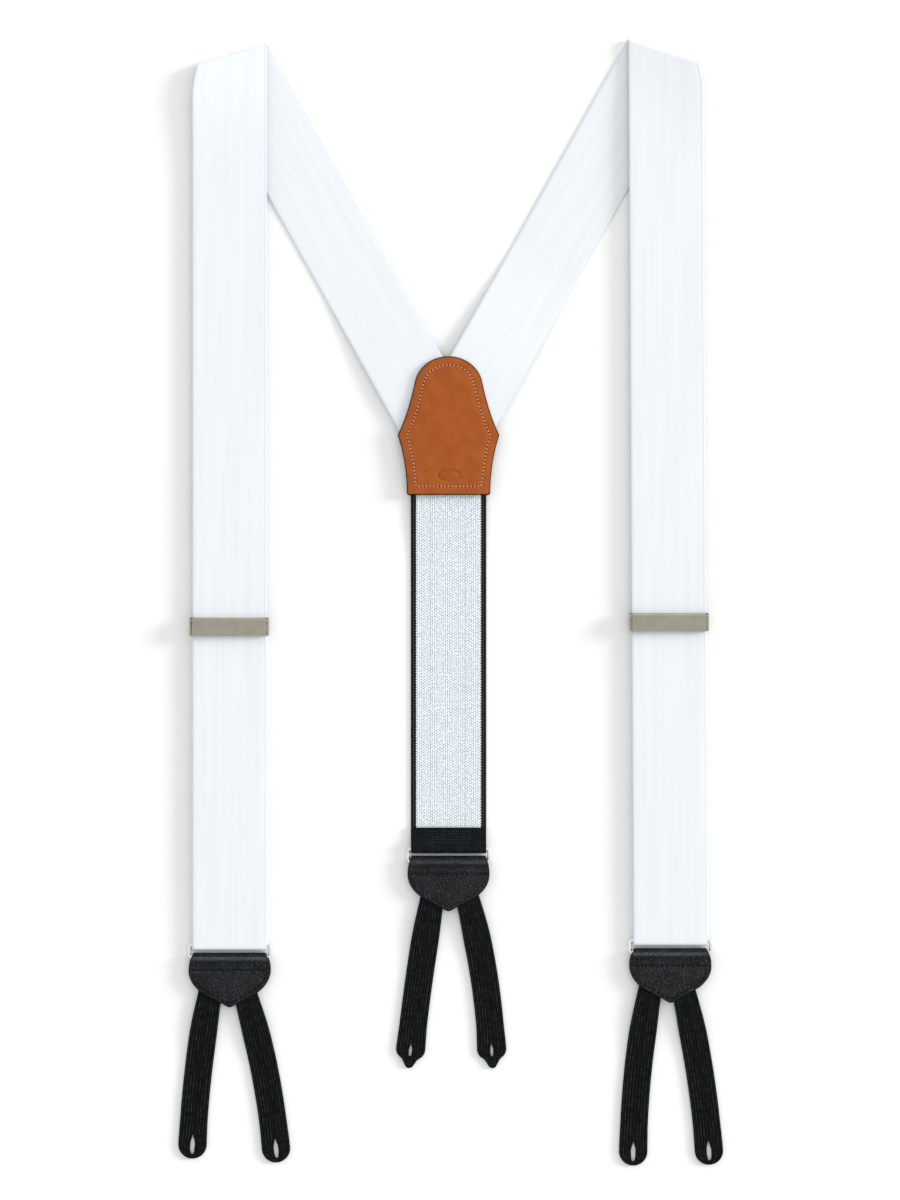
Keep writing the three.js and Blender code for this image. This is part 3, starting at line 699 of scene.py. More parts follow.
@dataclass(frozen=True)
class BlackClothFinish(Finish):
    """Black cloth: threads at the given pitches, with a painted grey highlight along their tops."""

    name: str
    base: Colour = tint(18, 20, 22)
    # The paler colour of the painted highlight along the threads' tops.
    top: Colour = tint(46, 50, 52)
    across: float = 0.6
    along: float = 0.6
    strength: float = 0.5

    def wire(self, w: Wiring, shader: bpy.types.Node) -> None:
        """Threads raise the cloth, and a painted grey highlight lies along their tops."""
        place = w.cloth_place()
        threads = w.group(SharedGroups.weave(), Place=place, Across=self.across, Along=self.along)
        patch = w.ramp(w.noise(place, 0.35, 3.0), 0.3, 0.7)
        # Painted highlight: the threads' high tops pale towards the top colour, and the low parts stay dark.
        share = w.maths("MULTIPLY", w.ramp(threads.outputs["Height"], 0.45, 0.95), patch)
        w.put(shader.inputs["Base Color"], w.mix(share, self.base, self.top))
        w.put(shader.inputs["Normal"], w.bump(threads.outputs["Height"], self.strength, 0.2))
        w.put(shader.inputs["Roughness"], w.ramp(patch, 0, 1, 0.72, 0.9))
        shader.inputs["Specular IOR Level"].default_value = 0.08


@dataclass(frozen=True)
class LeatherFinish(Finish):
    """Leather with grain, slow mottling, a burnished cut edge, painted crease shade and a painted highlight.

    A piece's edge mark is the distance from its cut edge in mm. Its second mark is 1 along a leather end's
    rolled top, where a pale grey painted highlight is laid.
    """

    name: str
    light: Colour
    dark: Colour
    burnt: Colour
    pebble: float
    relief: float
    rough: tuple[float, float]
    shine: float
    rim: float = 0.5
    # The colour of the painted highlight: a pale grey band laid along a leather end's rolled top.
    painted_highlight: Colour = tint(92, 101, 106)

    def wire(self, w: Wiring, shader: bpy.types.Node) -> None:
        """Mottling and painted crease shade tint, a painted highlight pales the roll, the edge darkens, grain
        raises.
        """
        place = w.object_place()
        grain = w.group(SharedGroups.grain(), Place=place, Pebble=self.pebble)
        edge = w.attribute("edge")
        tone = w.mix(w.ramp(grain.outputs["Mottle"], 0.32, 0.68), self.light, self.dark)
        # Painted shade: the grain's low creases are darkened in the colour.
        creases = w.maths("MULTIPLY", w.ramp(grain.outputs["Height"], 0.75, 0.3), 0.6)
        tone = w.mix(creases, tone, self.dark)
        # Painted highlight: a pale grey band along the rolled top, taken from the piece's mark and broken up
        # by noise.
        wear_and_highlight = w.attribute("wear_and_highlight")
        rub = w.maths("MULTIPLY", wear_and_highlight, w.ramp(w.noise(place, 0.7, 3.0), 0.25, 0.7, 0.35, 0.8))
        tone = w.mix(rub, tone, self.painted_highlight)
        ragged = w.maths("MULTIPLY_ADD", w.noise(place, 0.9, 2.0), -0.5, edge)
        near_edge = w.ramp(ragged, self.rim, self.rim - 0.45)
        w.put(shader.inputs["Base Color"], w.mix(near_edge, tone, self.burnt))
        gloss, matt = self.rough
        w.put(shader.inputs["Roughness"], w.ramp(grain.outputs["Height"], 0.2, 0.9, matt, gloss))
        w.put(shader.inputs["Normal"], w.bump(grain.outputs["Height"], 0.5, self.relief))
        shader.inputs["Specular IOR Level"].default_value = self.shine


@dataclass(frozen=True)
class MetalFinish(Finish):
    """Plated metal, with fine brushing along X where brushed is above 0."""

    name: str
    colour: Colour
    wear_and_highlight: Colour
    rough: tuple[float, float]
    brushed: float = 0.0

    def wire(self, w: Wiring, shader: bpy.types.Node) -> None:
        """Scratches vary the gloss, and brushing raises fine lines."""
        place = w.object_place()
        turned = w.node("ShaderNodeVectorRotate", rotation_type="Z_AXIS")
        w.put(turned.inputs["Vector"], place)
        turned.inputs["Angle"].default_value = math.pi / 2
        lines = w.group(SharedGroups.streaks(), Place=turned.outputs[0], Wide=0.22, Long=14.0).outputs[0]
        smudge = w.noise(place, 0.25, 3.0)
        w.put(shader.inputs["Base Color"], w.mix(w.ramp(smudge, 0.3, 0.75), self.colour, self.wear_and_highlight))
        shader.inputs["Metallic"].default_value = 1.0
        rough = w.ramp(lines if self.brushed else smudge, 0.3, 0.7, *self.rough)
        w.put(shader.inputs["Roughness"], rough)
        if self.brushed:
            w.put(shader.inputs["Normal"], w.bump(lines, self.brushed, 0.05))


@dataclass(frozen=True)
class ThreadFinish(Finish):
    """Sewing thread: twisted strands with a few darker ones."""

    name: str
    colour: Colour
    deep: Colour

    def wire(self, w: Wiring, shader: bpy.types.Node) -> None:
        """Noise along the thread stands for its twist."""
        place = w.object_place()
        strands = w.noise(place, 2.2, 3.0)
        w.put(shader.inputs["Base Color"], w.mix(w.ramp(strands, 0.35, 0.65), self.colour, self.deep))
        w.put(shader.inputs["Roughness"], w.ramp(strands, 0.3, 0.7, 0.55, 0.75))
        w.put(shader.inputs["Normal"], w.bump(strands, 0.4, 0.08))
        shader.inputs["Specular IOR Level"].default_value = 0.15


class Look(Enum):
    """The finishes of this object's pieces."""

    RIBBON = RibbonFinish()
    ELASTIC = ElasticFaceFinish()
    ELASTIC_BACK = BlackClothFinish("elastic_back", tint(12, 16, 18), tint(46, 54, 58), 0.9, 0.6, 0.8)
    BRAID = BlackClothFinish("black_braid", tint(5, 7, 7), tint(56, 65, 67), 1.34, 0.75, 0.9)
    TAN = LeatherFinish(
        "tan_leather", tint(173, 93, 39), tint(158, 80, 30), tint(46, 22, 12),
        pebble=0.6, relief=0.2, rough=(0.42, 0.55), shine=0.12,
    )
    BLACK = LeatherFinish(
        "black_leather", tint(27, 35, 39), tint(2, 4, 5), tint(2, 3, 3),
        pebble=1.25, relief=1.5, rough=(0.26, 0.46), shine=0.2,
    )
    NICKEL = MetalFinish("nickel_wire", tint(246, 246, 244), tint(226, 226, 223), (0.12, 0.24))
    BRUSHED = MetalFinish("brushed_nickel", tint(170, 166, 152), tint(162, 158, 143), (0.3, 0.46), 0.2)
    TAN_THREAD = ThreadFinish("tan_thread", tint(214, 160, 128), tint(168, 104, 74))
    # Dark brown marks of painted shade where the needle holes are.
    HOLE_SHADE = ThreadFinish("hole_shade", tint(84, 38, 18), tint(60, 26, 12))
    BLACK_THREAD = ThreadFinish("black_thread", tint(2, 2, 3), tint(5, 6, 7))
    HEM_THREAD = ThreadFinish("hem_thread", tint(44, 50, 53), tint(26, 31, 33))
    WHITE_THREAD = ThreadFinish("white_thread", tint(232, 236, 242), tint(205, 211, 220))

    @property
    def material(self) -> bpy.types.Material:
        """The finish's material."""
        return self.value.material()


# ---------------------------------------------------------------- the layout that the frame fixes


def node_box(node: str) -> tuple[Array, Array]:
    """A CAD node's lowest and highest corners in mm."""
    low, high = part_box(node)
    return np.array(low) / MM, np.array(high) / MM


def centre_of(node: str) -> Array:
    """The middle of a CAD node's box in mm."""
    low, high = node_box(node)
    return (low + high) / 2


class Side(Enum):
    """The wearer-facing sides of the braces, by the sign of their x."""

    LEFT = -1
    RIGHT = 1

    @property
    def label(self) -> str:
        """The word that starts this side's names."""
        return self.name.lower()


GAP = 0.1
RUN = 0.3
RIBBON_WIDTH = 36.0
RIBBON_THICK = 0.8
ELASTIC_WIDTH = 36.6
ELASTIC_THICK = 1.0
RING_WIRE = 0.8
RING_Z = 2.1
LEAN = math.radians(14.6)
ROLL_OUTER = 2.6
ROLL_INNER = 1.2
RIBBON_LOOP = RING_WIRE + RUN + RIBBON_THICK / 2
ELASTIC_LOOP = RING_WIRE + RUN + ELASTIC_THICK / 2
FRONT_RUN = 3.9


def hung(piece: bpy.types.Object, body: str, slot: str, *nodes: str) -> bpy.types.Object:
    """Ties a finished piece to its body and hides the CAD nodes it stands for."""
    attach(piece, body)
    if nodes:
        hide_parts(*nodes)
    LOG.info("%s rides on %s", piece.name, body)
    return piece


def bent(piece: bpy.types.Object, bodies: tuple[str, str], ends: tuple[Sequence[float], Sequence[float]],
         slot: str, *nodes: str) -> bpy.types.Object:
    """Bakes a finished piece's place into its mesh and hides the CAD nodes it stands for."""
    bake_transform(piece)
    if nodes:
        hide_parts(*nodes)
    LOG.info("%s bends between %s and %s", piece.name, *bodies)
    return piece


# ---------------------------------------------------------------- straps


@dataclass
class ShoulderStrap:
    """One ribbon, from under the patch over the shoulder fold to the adjuster, the ring and back."""

    side: Side
    thick: float = 0.62
    length: float = 228.0
    climb: float = 48.0
    tuck: float = 2.1
    tuck_reach: float = 14.0
    slack: float = 0.7
    settle: float = 62.0
    square: float = 40.0
    turn_tail: float = 8.0
    rear_bar: float = 1.7
    rear_reach: float = 4.4

    def __post_init__(self) -> None:
        """Works out the fold from the CAD nodes."""
        label = self.side.label
        fold_top = node_box(f"{label}_shoulder_fold")[1][1]
        self.sign = self.side.value
        self.adjuster = centre_of(f"{label}_adjuster_frame")
        loop = centre_of(f"{label}_strap_loop")
        ring_high = node_box(f"{label}_ring")[1]
        self.bar_y = ring_high[1] - RING_WIRE - self.slack
        # The front strap's box gives its middle at the shoulder, and the loop's gives it at the ring.
        front_low, front_high = node_box(f"{label}_front_strap")
        inner = front_high[0] if self.sign < 0 else front_low[0]
        self.top_x = inner + self.sign * RIBBON_WIDTH / 2
        self.drift = (loop[0] - self.top_x) / (fold_top - loop[1])
        # The inner edge of the roll reaches highest: its crease lies its radius under the top.
        sin, cos, tan = math.sin(LEAN), math.cos(LEAN), math.tan(LEAN)
        reach = math.pi * ROLL_INNER / 2 / cos
        drawn_back = reach * (1 + math.cos(2 * LEAN)) / 2
        top = fold_top - (ROLL_INNER + RIBBON_THICK / 2) * cos + drawn_back
        self.crease_y = top - RIBBON_WIDTH / 2 * tan
        self.back = np.array([-self.sign * math.sin(2 * LEAN), -math.cos(2 * LEAN), 0])
        self.across = np.array([math.cos(2 * LEAN), -self.sign * math.sin(2 * LEAN), 0])
        self.outward = np.array([self.sign * sin, cos, 0])
        self.patch_level = node_box(f"{label}_back_strap")[1][2] - RIBBON_THICK / 2

    def x_at(self, y: Array | float) -> Array:
        """The middle of the front strap at a y."""
        return self.top_x + self.drift * (self.crease_y - y)

    def edge_lines(self, angles: Array) -> list[Array]:
        """The roll's left and right edge lines: a half circle whose foot slides from back strap to front."""
        lines = []
        for offset in (-RIBBON_WIDTH / 2, RIBBON_WIDTH / 2):
            radius = ROLL_OUTER if offset * self.sign > 0 else ROLL_INNER
            crease = np.array(
                [self.top_x + offset, self.crease_y - self.sign * offset * math.tan(LEAN), RIBBON_THICK / 2]
            )
            reach = math.pi * radius / 2 / math.cos(LEAN)
            start = crease + self.back * reach
            end = crease + np.array([0, -reach, 0])
            share = (angles / math.pi)[:, None]
            line = start * (1 - share) + end * share
            line = line + self.outward * (radius * np.sin(angles))[:, None]
            line[:, 2] += radius * (1 - np.cos(angles))
            if offset * self.sign > 0:
                line[:, 0] -= self.sign * self.tuck
            lines.append(line)
        return lines

    def roll_up(self, angles: Array) -> Array:
        """Directions out of the ribbon's face round the roll: the face is the strap's top side in front."""
        up = self.outward * np.sin(angles)[:, None]
        up[:, 2] = -np.cos(angles)
        return up

    def cloth(self, part: str, left: Array, right: Array, up: Array, start: float = 0.0) -> bpy.types.Object:
        """The ribbon between two edge lines, as a piece named after its side and part."""
        skin = StrapSection(self.thick).skin(left, right, up, start=start)
        return skin.build(f"{self.side.label}_{part}", [Look.RIBBON, Look.RIBBON])

    def back_ribbon(self) -> None:
        """The run from under the patch to the foot of the roll."""
        left0, right0 = (line[0] for line in self.edge_lines(np.array([0.0])))
        middle = np.array([self.top_x, self.crease_y, 0])
        leaves = self.length - self.climb
        settled = RIBBON_THICK / 2
        distance = np.linspace(self.length, self.square, 96)
        sunk = smoothstep(-distance, -(leaves + 6), -(leaves - self.settle))
        centre = middle + self.back * distance[:, None]
        centre[:, 2] = self.patch_level + (settled - self.patch_level) * sunk
        left = centre - self.across * RIBBON_WIDTH / 2
        right = centre + self.across * RIBBON_WIDTH / 2
        # The last stations turn from square across the strap to along the crease.
        t = np.linspace(0, 1, 30)[1:, None]
        left = np.concatenate([left, left[-1] * (1 - t) + left0 * t])
        right = np.concatenate([right, right[-1] * (1 - t) + right0 * t])
        up = unit(np.cross(tangents((left + right) / 2), right - left))
        up *= -np.sign(up[:, 2:3])
        piece = self.cloth("back_ribbon", left, right, up, start=-self.length)
        hung(piece, "back_yoke", "white_ribbon", f"{self.side.label}_back_strap")

    def front_ribbon(self) -> None:
        """The roll over the shoulder fold and the run down the front to the adjuster."""
        angles = np.linspace(0, math.pi, 25)
        left, right = self.edge_lines(angles)
        up = self.roll_up(angles)
        y = np.linspace(0, 1, 150)[1:] ** 1.3
        runs = []
        for line in (left, right):
            end = line[-1]
            ys = end[1] + (self.adjuster[1] - end[1]) * y
            outer = (end[0] - self.top_x) * self.sign > 0
            offset = RIBBON_WIDTH / 2 * (self.sign if outer else -self.sign)
            tucked = self.tuck * np.clip(1 - (end[1] - ys) / self.tuck_reach, 0, 1) ** 2 if outer else 0
            x = self.x_at(ys) + offset - self.sign * tucked
            z = end[2] + (FRONT_RUN - end[2]) * smoothstep(-ys, -end[1], -end[1] + 55)
            runs.append(np.concatenate([line, np.stack([x, ys, z], 1)]))
        left, right = runs
        way = tangents((left + right) / 2)
        flat_up = unit(np.cross(right - left, way))
        flat_up *= np.sign(flat_up[:, 2:3])
        up = np.concatenate([up, flat_up[len(angles):]])
        label = self.side.label
        piece = self.cloth("front_ribbon", left, right, up)
        ends = ((self.top_x, self.crease_y, 0.9), (self.top_x, self.crease_y, 2.3))
        nodes = (f"{label}_shoulder_fold", f"{label}_front_strap")
        bent(piece, ("back_yoke", f"{label}_front_strap"), ends, "white_ribbon", *nodes)

    def level_run(self, part: str, profile: Array, start: float, bodies: tuple[str, str],
                  span: tuple[float, float], node: str) -> None:
        """A run of the ribbon along Y between two bodies.

        Names are given without the side's word, which this puts before them.

        Args:
            part: the piece's name.
            profile: (n, 2) places (y, z) of its middle.
            start: the cloth's length before its first station.
            bodies: the two bodies.
            span: the y where it leaves the first body and the y where it joins the second.
            node: the CAD node that it stands for.
        """
        label = self.side.label
        left, right = level_strap(self.x_at, RIBBON_WIDTH, profile)
        piece = self.cloth(part, left, right, unit(np.cross(right - left, tangents(left))), start=start)
        x = self.x_at(self.bar_y)
        ends = ((x, span[0], 0), (x, span[1], 0))
        bent(piece, (f"{label}_{bodies[0]}", f"{label}_{bodies[1]}"), ends, "white_ribbon", f"{label}_{node}")

    def lower_ribbon(self) -> None:
        """From the adjuster down and round the ring's bar."""
        low = RING_Z - RIBBON_LOOP
        top = RING_Z + RIBBON_LOOP
        turn = np.linspace(math.pi / 2, -math.pi / 2, 17)
        bend = np.stack([self.bar_y - RIBBON_LOOP * np.cos(turn), RING_Z + RIBBON_LOOP * np.sin(turn)], 1)
        run_y = np.linspace(self.adjuster[1], self.bar_y + 0.4, 70)
        run_z = FRONT_RUN + (top - FRONT_RUN) * smoothstep(-run_y, -self.bar_y - 40, -self.bar_y - 8)
        tail = np.array([[self.bar_y + self.turn_tail / 2, low], [self.bar_y + self.turn_tail, low]])
        profile = np.concatenate([np.stack([run_y, run_z], 1), bend, tail])
        self.level_run(
            "lower_ribbon", profile, start=self.crease_y - self.adjuster[1],
            bodies=("front_strap", "strap_loop"), span=(self.adjuster[1] - 3, self.bar_y + 12),
            node="strap_loop",
        )

    def return_ribbon(self) -> None:
        """Back up under itself, round the adjuster's rear bar, with its end folded down and sewn."""
        low = RING_Z - RIBBON_LOOP
        bar = self.rear_bar
        radius = bar - low
        foot = self.adjuster[1] - self.rear_reach
        turn_y = foot + 2.2 - radius + RUN + RIBBON_THICK / 2
        turn = np.linspace(-math.pi / 2, math.pi / 2, 15)
        bend = np.stack([turn_y + radius * np.cos(turn), bar + radius * np.sin(turn)], 1)
        hem = low + RIBBON_THICK + GAP
        under_y = np.linspace(self.bar_y + self.turn_tail, turn_y - 1, 60)
        under = np.stack([under_y, np.full(60, low)], 1)
        back_y = np.linspace(foot - 0.6, foot - 10.0, 16)
        back_z = (bar + radius) + (hem - bar - radius) * smoothstep(-back_y, -foot + 0.6, -foot + 4.8)
        profile = np.concatenate([under, bend, np.stack([back_y, back_z], 1)])
        start = self.crease_y - self.bar_y + self.turn_tail
        self.level_run(
            "return_ribbon", profile, start=start, bodies=("strap_loop", "adjuster"),
            span=(self.bar_y + 10, self.adjuster[1] - 22), node="strap_return",
        )

    def hem_stitches(self) -> None:
        """The box of stitches under the return's sewn end."""
        low, high = node_box(f"{self.side.label}_hem_stitching")
        z = RING_Z - RIBBON_LOOP - self.thick / 2 - 0.02
        x = np.array([low[0], high[0], high[0], low[0], low[0]])
        y = np.array([low[1], low[1], high[1], high[1], low[1]])
        path = np.column_stack([x, y, np.full(5, z)])
        skin = stitch_row(path, 1.9, 1.6, 0.17, UP, 0.6)
        piece = skin.build(f"{self.side.label}_hem_stitches", [Look.WHITE_THREAD], sharp=False)
        hung(piece, f"{self.side.label}_adjuster", "white_thread", f"{self.side.label}_hem_stitching")

    def build(self) -> None:
        """All of the strap's pieces."""
        self.back_ribbon()
        self.front_ribbon()
        self.lower_ribbon()
        self.return_ribbon()
        self.hem_stitches()


# ---------------------------------------------------------------- adjusters


@dataclass
class Adjuster:
    """The lever of the adjuster on one strap, with rounded edges. Its frame and pin are the CAD's own."""

    side: Side
    barrel: float = 1.4
    bore: float = 0.8
    slit: float = 0.05
    cover: float = 1.2
    edge: float = 0.35

    def build(self) -> None:
        """The cover and its barrel: one rounded profile in YZ, carried across with rounded ends."""
        label = self.side.label
        low, high = node_box(f"{label}_adjuster_lever")
        top, foot, back = high[2], low[1], high[1]
        pin_y = back - self.barrel
        pin_z = top - self.barrel
        inner = top - self.cover
        corner = np.linspace(0, math.pi / 2, 6)
        bow_y, bow_z = self.edge * np.sin(corner), self.edge * np.cos(corner)
        front = np.stack([foot + self.edge - bow_y, top - self.edge + bow_z], 1)
        under = np.stack([foot + self.edge - bow_z, inner + self.edge - bow_y], 1)
        # The sheet curls round the pin: out along the barrel to a slit below, round the bore and on again.
        foot_of_slit = 1.5 * math.pi
        before = np.linspace(math.pi * 0.83, foot_of_slit - self.slit, 9)
        round_bore = np.linspace(foot_of_slit - self.slit, self.slit - 0.5 * math.pi, 24)
        after = np.linspace(foot_of_slit + self.slit, 2.5 * math.pi, 14)
        angle = np.concatenate([before, round_bore, after])
        reach = np.repeat([self.barrel, self.bore, self.barrel], [9, 24, 14])
        barrel = np.stack([pin_y + reach * np.cos(angle), pin_z + reach * np.sin(angle)], 1)
        crown_y = np.linspace(pin_y - 0.5, foot + 1.2, 8)
        crown = np.stack([crown_y, np.full(8, top)], 1)
        outline = np.concatenate([front, under, barrel, crown])
        centre = outline.mean(0)
        half = (high[0] - low[0]) / 2
        x = (high[0] + low[0]) / 2
        end = np.linspace(0, math.pi / 2, 6)
        inset = self.edge * (1 - np.sin(end))
        start = -half + self.edge * (1 - np.cos(end))
        places = np.concatenate([start, -start[::-1]])
        pulls = np.concatenate([inset, inset[::-1]])
        away = unit(outline - centre)
        rows = []
        for place, pull in zip(places, pulls):
            shape = outline - away * pull * 0.6
            rows.append(np.column_stack([np.full(len(shape), x + place), shape]))
        skin = swept(np.array(rows))
        piece = skin.build(f"{label}_lever_cover", [Look.BRUSHED])
        hung(piece, f"{label}_adjuster_lever", "brushed_nickel", f"{label}_adjuster_lever")


# ---------------------------------------------------------------- rings


@dataclass
class Ring:
    """A wire ring: a circle of wire carried round a rounded oblong."""

    label: str
    corner: float = 1.2
    sides: int = 20

    def build(self) -> None:
        """Makes the ring where its CAD node is."""
        low, high = node_box(f"{self.label}_ring")
        middle = (low + high) / 2
        half_x = (high[0] - low[0]) / 2 - RING_WIRE
        half_y = (high[1] - low[1]) / 2 - RING_WIRE
        turn = np.linspace(0, math.pi / 2, 9)
        points, outs = [], []
        for k, (sx, sy) in enumerate([(1, 1), (-1, 1), (-1, -1), (1, -1)]):
            angle = turn + k * math.pi / 2
            direction = np.stack([np.cos(angle), np.sin(angle), np.zeros_like(angle)], 1)
            base = np.array([sx * (half_x - self.corner), sy * (half_y - self.corner), 0])
            points.append(middle + base + direction * self.corner)
            outs.append(direction)
        path, out = np.concatenate(points), np.concatenate(outs)
        path[:, 2] = RING_Z
        around = np.linspace(0, 2 * math.pi, self.sides, endpoint=False)
        sections = path[:, None] + RING_WIRE * (
            out[:, None] * np.cos(around)[None, :, None] + UP * np.sin(around)[None, :, None]
        )
        piece = swept(sections, closed=True).build(f"{self.label}_wire_ring", [Look.NICKEL], sharp=False)
        hung(piece, f"{self.label}_ring", "nickel", f"{self.label}_ring")


# ---------------------------------------------------------------- leather ends and tabs


@dataclass
class TabRoute:
    """One button tab: its name, its middle line from the top of the leather, and how its tip is shaped."""

    name: str
    root: tuple[float, float]
    bend: tuple[float, float]
    tip: tuple[float, float]
    pointed: bool = False

    @property
    def hole(self) -> tuple[float, float, float]:
        """The buttonhole's half width, its length up the legs and its length into the tip."""
        return (0.7, 4.0, 3.0) if self.pointed else (1.1, 5.0, 4.7)


@dataclass
class LeatherEnd:
    """A leather end with its two braided tabs."""

    label: str
    tabs: tuple[TabRoute, TabRoute]
    top_half: float
    thick: float = 1.0
    widest: float = 19.9
    drop: float = 26.4
    tunnel: float = 1.1
    seam_drop: float = 8.3
    seam_inset: float = 1.9
    puckers: float = 0.2
    swell: float = 0.6
    # The painted highlight: its strength and its drop from the top, a pale grey band along the rolled top.
    rub: float = 0.7
    rub_drop: float = 2.5
    rise: float = 0.0
    thread: float = 0.4
    pressed: float = 0.4
    seam_sink: float = 0.45
    valley_sink: float = 0.25
    valley_drop: float = 5.8
    roll_drop: float = 2.7
    edge: float = 0.45

    def __post_init__(self) -> None:
        """Takes its place from the CAD node."""
        node = f"{self.label}_leather_end"
        self.x = centre_of(node)[0]
        self.top = node_box(node)[1][1]

    # -- outline

    @staticmethod
    def curve(start: Sequence[float], pull: Sequence[float], end: Sequence[float], steps: int = 14) -> Array:
        """A parabola from start to end, drawn towards pull."""
        t = np.linspace(0, 1, steps)[:, None]
        start, pull, end = (np.array(p, float) for p in (start, pull, end))
        return (1 - t) ** 2 * start + 2 * t * (1 - t) * pull + t**2 * end

    def half_outline(self, inset: float = 0.0) -> Array:
        """The right half outline as (half width, drop), from the top to the nub."""
        wide = self.widest - inset
        cheek = (14 - inset * 0.5, 19 - inset * 0.9)
        chin = (3.2 - inset * 0.2, 24.8 - inset)
        pieces = [
            self.curve((self.top_half - inset, 0), (wide, 3.5), (wide, 8.5)),
            self.curve((wide, 8.5), (wide, 14.5), cheek),
            self.curve(cheek, (8, 22.2 - inset), chin),
            self.curve(chin, (1.7, 26.2 - inset), (0, self.drop - inset)),
        ]
        return np.concatenate(pieces)

    # -- leather

    def front_height(self, x: Array, drop: Array) -> Array:
        """The height of the front panel's middle: high over the tabs and the ring, low between."""
        high = RING_Z + self.tunnel + self.thick / 2
        away = np.full(x.shape, 99.0)
        for tab in self.tabs:
            line = np.array([tab.root, tab.bend]) * np.array([1, -1])
            one = distance_to_line(np.stack([x.ravel(), drop.ravel()], 1), line)
            away = np.minimum(away, one.reshape(x.shape))
        pressed = smoothstep(away, 3.5, 11) * smoothstep(drop, self.seam_drop, self.seam_drop + 7)
        seam = np.exp(-(((drop - self.seam_drop) / 0.7) ** 2))
        valley = np.exp(-(((drop - self.valley_drop) / 1.5) ** 2))
        roll = np.exp(-(((drop - self.roll_drop) / 1.5) ** 2))
        ripple = np.sin(x * 3.1 + 1.1 * np.sin(x * 0.9)) * (0.7 + 0.3 * np.sin(x * 0.7))
        sunk = high - self.pressed * pressed - self.seam_sink * seam - self.valley_sink * valley
        return sunk + self.swell * roll + self.puckers * ripple * valley

    def leather(self) -> None:
        """The folded leather: a sheet whose half width follows the outline, carried from tip to tip.

        Its path runs up the front, half round the ring's bar and down the back. Each station is a flat
        section with rounded edges.
        """
        outline = self.half_outline()
        drops = np.concatenate([
            np.linspace(self.drop, 24.6, 9)[:-1],
            np.linspace(24.6, self.tunnel + self.thick - self.rise, 74),
        ])
        radius = self.tunnel + self.thick / 2
        turn = np.linspace(math.pi / 2, -math.pi / 2, 19)[1:-1]
        brow = self.tunnel + self.thick - self.rise - radius * np.cos(turn)
        drop_of = np.concatenate([drops, brow, drops[::-1]])
        front = np.arange(len(drop_of)) < len(drops)
        back = np.arange(len(drop_of)) >= len(drops) + len(turn)
        half = np.interp(drop_of, outline[:, 1], outline[:, 0])
        half = np.maximum(half, 0.35)
        c = across_places(111, 0.5, 2 * self.widest)
        x = (2 * c - 1)[None] * half[:, None]
        y = np.repeat((self.top - drop_of)[:, None], len(c), 1)
        angle = np.concatenate([np.full(len(drops), math.pi / 2), turn, np.full(len(drops), -math.pi / 2)])
        z = RING_Z + radius * np.sin(angle)[:, None] + np.zeros_like(x)
        z[front] = self.front_height(x[front], (self.top - y)[front])
        # The turn eases from the front panel's swell to the plain circle.
        ease = smoothstep(angle, 0.2, math.pi / 2)[:, None]
        lift = self.front_height(x, np.full_like(x, drops[-1])) - (RING_Z + radius)
        on_turn = ~front & ~back
        z[on_turn] += (ease * lift)[on_turn]
        surface = np.stack([self.x + x, y, z], -1)
        du = np.gradient(surface, axis=0)
        dv = np.gradient(surface, axis=1)
        normal = unit(np.cross(dv, du))
        normal *= np.sign((normal * self._outward(angle)[:, None]).sum(-1, keepdims=True))
        from_edge = (1 - np.abs(2 * c - 1))[None] * half[:, None]
        flat = np.stack([np.abs(x).ravel(), (self.top - y).ravel()], 1)
        near = distance_to_line(flat, outline[14:]).reshape(x.shape)
        from_edge = np.minimum(from_edge, np.where(front[:, None] | back[:, None], near, 99))
        thick = self.thick / 2 * round_over(from_edge, self.edge)[..., None]
        outside = surface + normal * thick
        inside = (surface - normal * thick)[:, 1:-1][:, ::-1]
        skin = swept(np.concatenate([outside, inside], 1))
        edge = np.concatenate([from_edge, np.zeros_like(from_edge[:, 1:-1])], 1)
        skin.marks["edge"] = edge.ravel()
        # A painted highlight: a pale grey band across the front, centred on the rolled top.
        painted_highlight = np.exp(-(((self.top - y - self.rub_drop) / 0.85) ** 2)) * front[:, None] * self.rub
        skin.marks["wear_and_highlight"] = np.concatenate([painted_highlight, np.zeros_like(painted_highlight[:, 1:-1])], 1).ravel()
        piece = skin.build(f"{self.label}_leather", [Look.BLACK])
        hung(piece, f"{self.label}_leather_end", "black_leather", f"{self.label}_leather_end")

    @staticmethod
    def _outward(angle: Array) -> Array:
        """The way out of the fold at each angle round it."""
        return np.stack([np.zeros_like(angle), np.cos(angle), np.sin(angle)], 1)

    def stitches(self) -> None:
        """The straight seam under the ring and the seam along the border."""
        inner = self.half_outline(self.seam_inset)
        lower = inner[inner[:, 1] > self.seam_drop]
        border = np.concatenate([lower * np.array([-1, 1]), lower[::-1][1:]])
        wide = lower[0, 0]
        straight = np.stack([np.linspace(-wide, wide, 40), np.full(40, self.seam_drop)], 1)
        rows = []
        for line in (border, straight):
            dense = resampled(line, 0.5)
            z = self.front_height(dense[:, 0], dense[:, 1]) + self.thick / 2 - 0.04
            path = np.stack([self.x + dense[:, 0], self.top - dense[:, 1], z], 1)
            rows.append(stitch_row(path, 2.6, 1.8, self.thread, UP, 0.7))
        seams = reduce(Skin.merged, rows)
        piece = seams.build(f"{self.label}_leather_stitches", [Look.BLACK_THREAD], sharp=False)
        hung(piece, f"{self.label}_leather_end", "black_thread", f"{self.label}_leather_seam")

    def build(self) -> None:
        """The leather, its seams and both tabs."""
        self.leather()
        self.stitches()
        for route in self.tabs:
            ButtonTab(route, self.label, self.x, self.top).build()


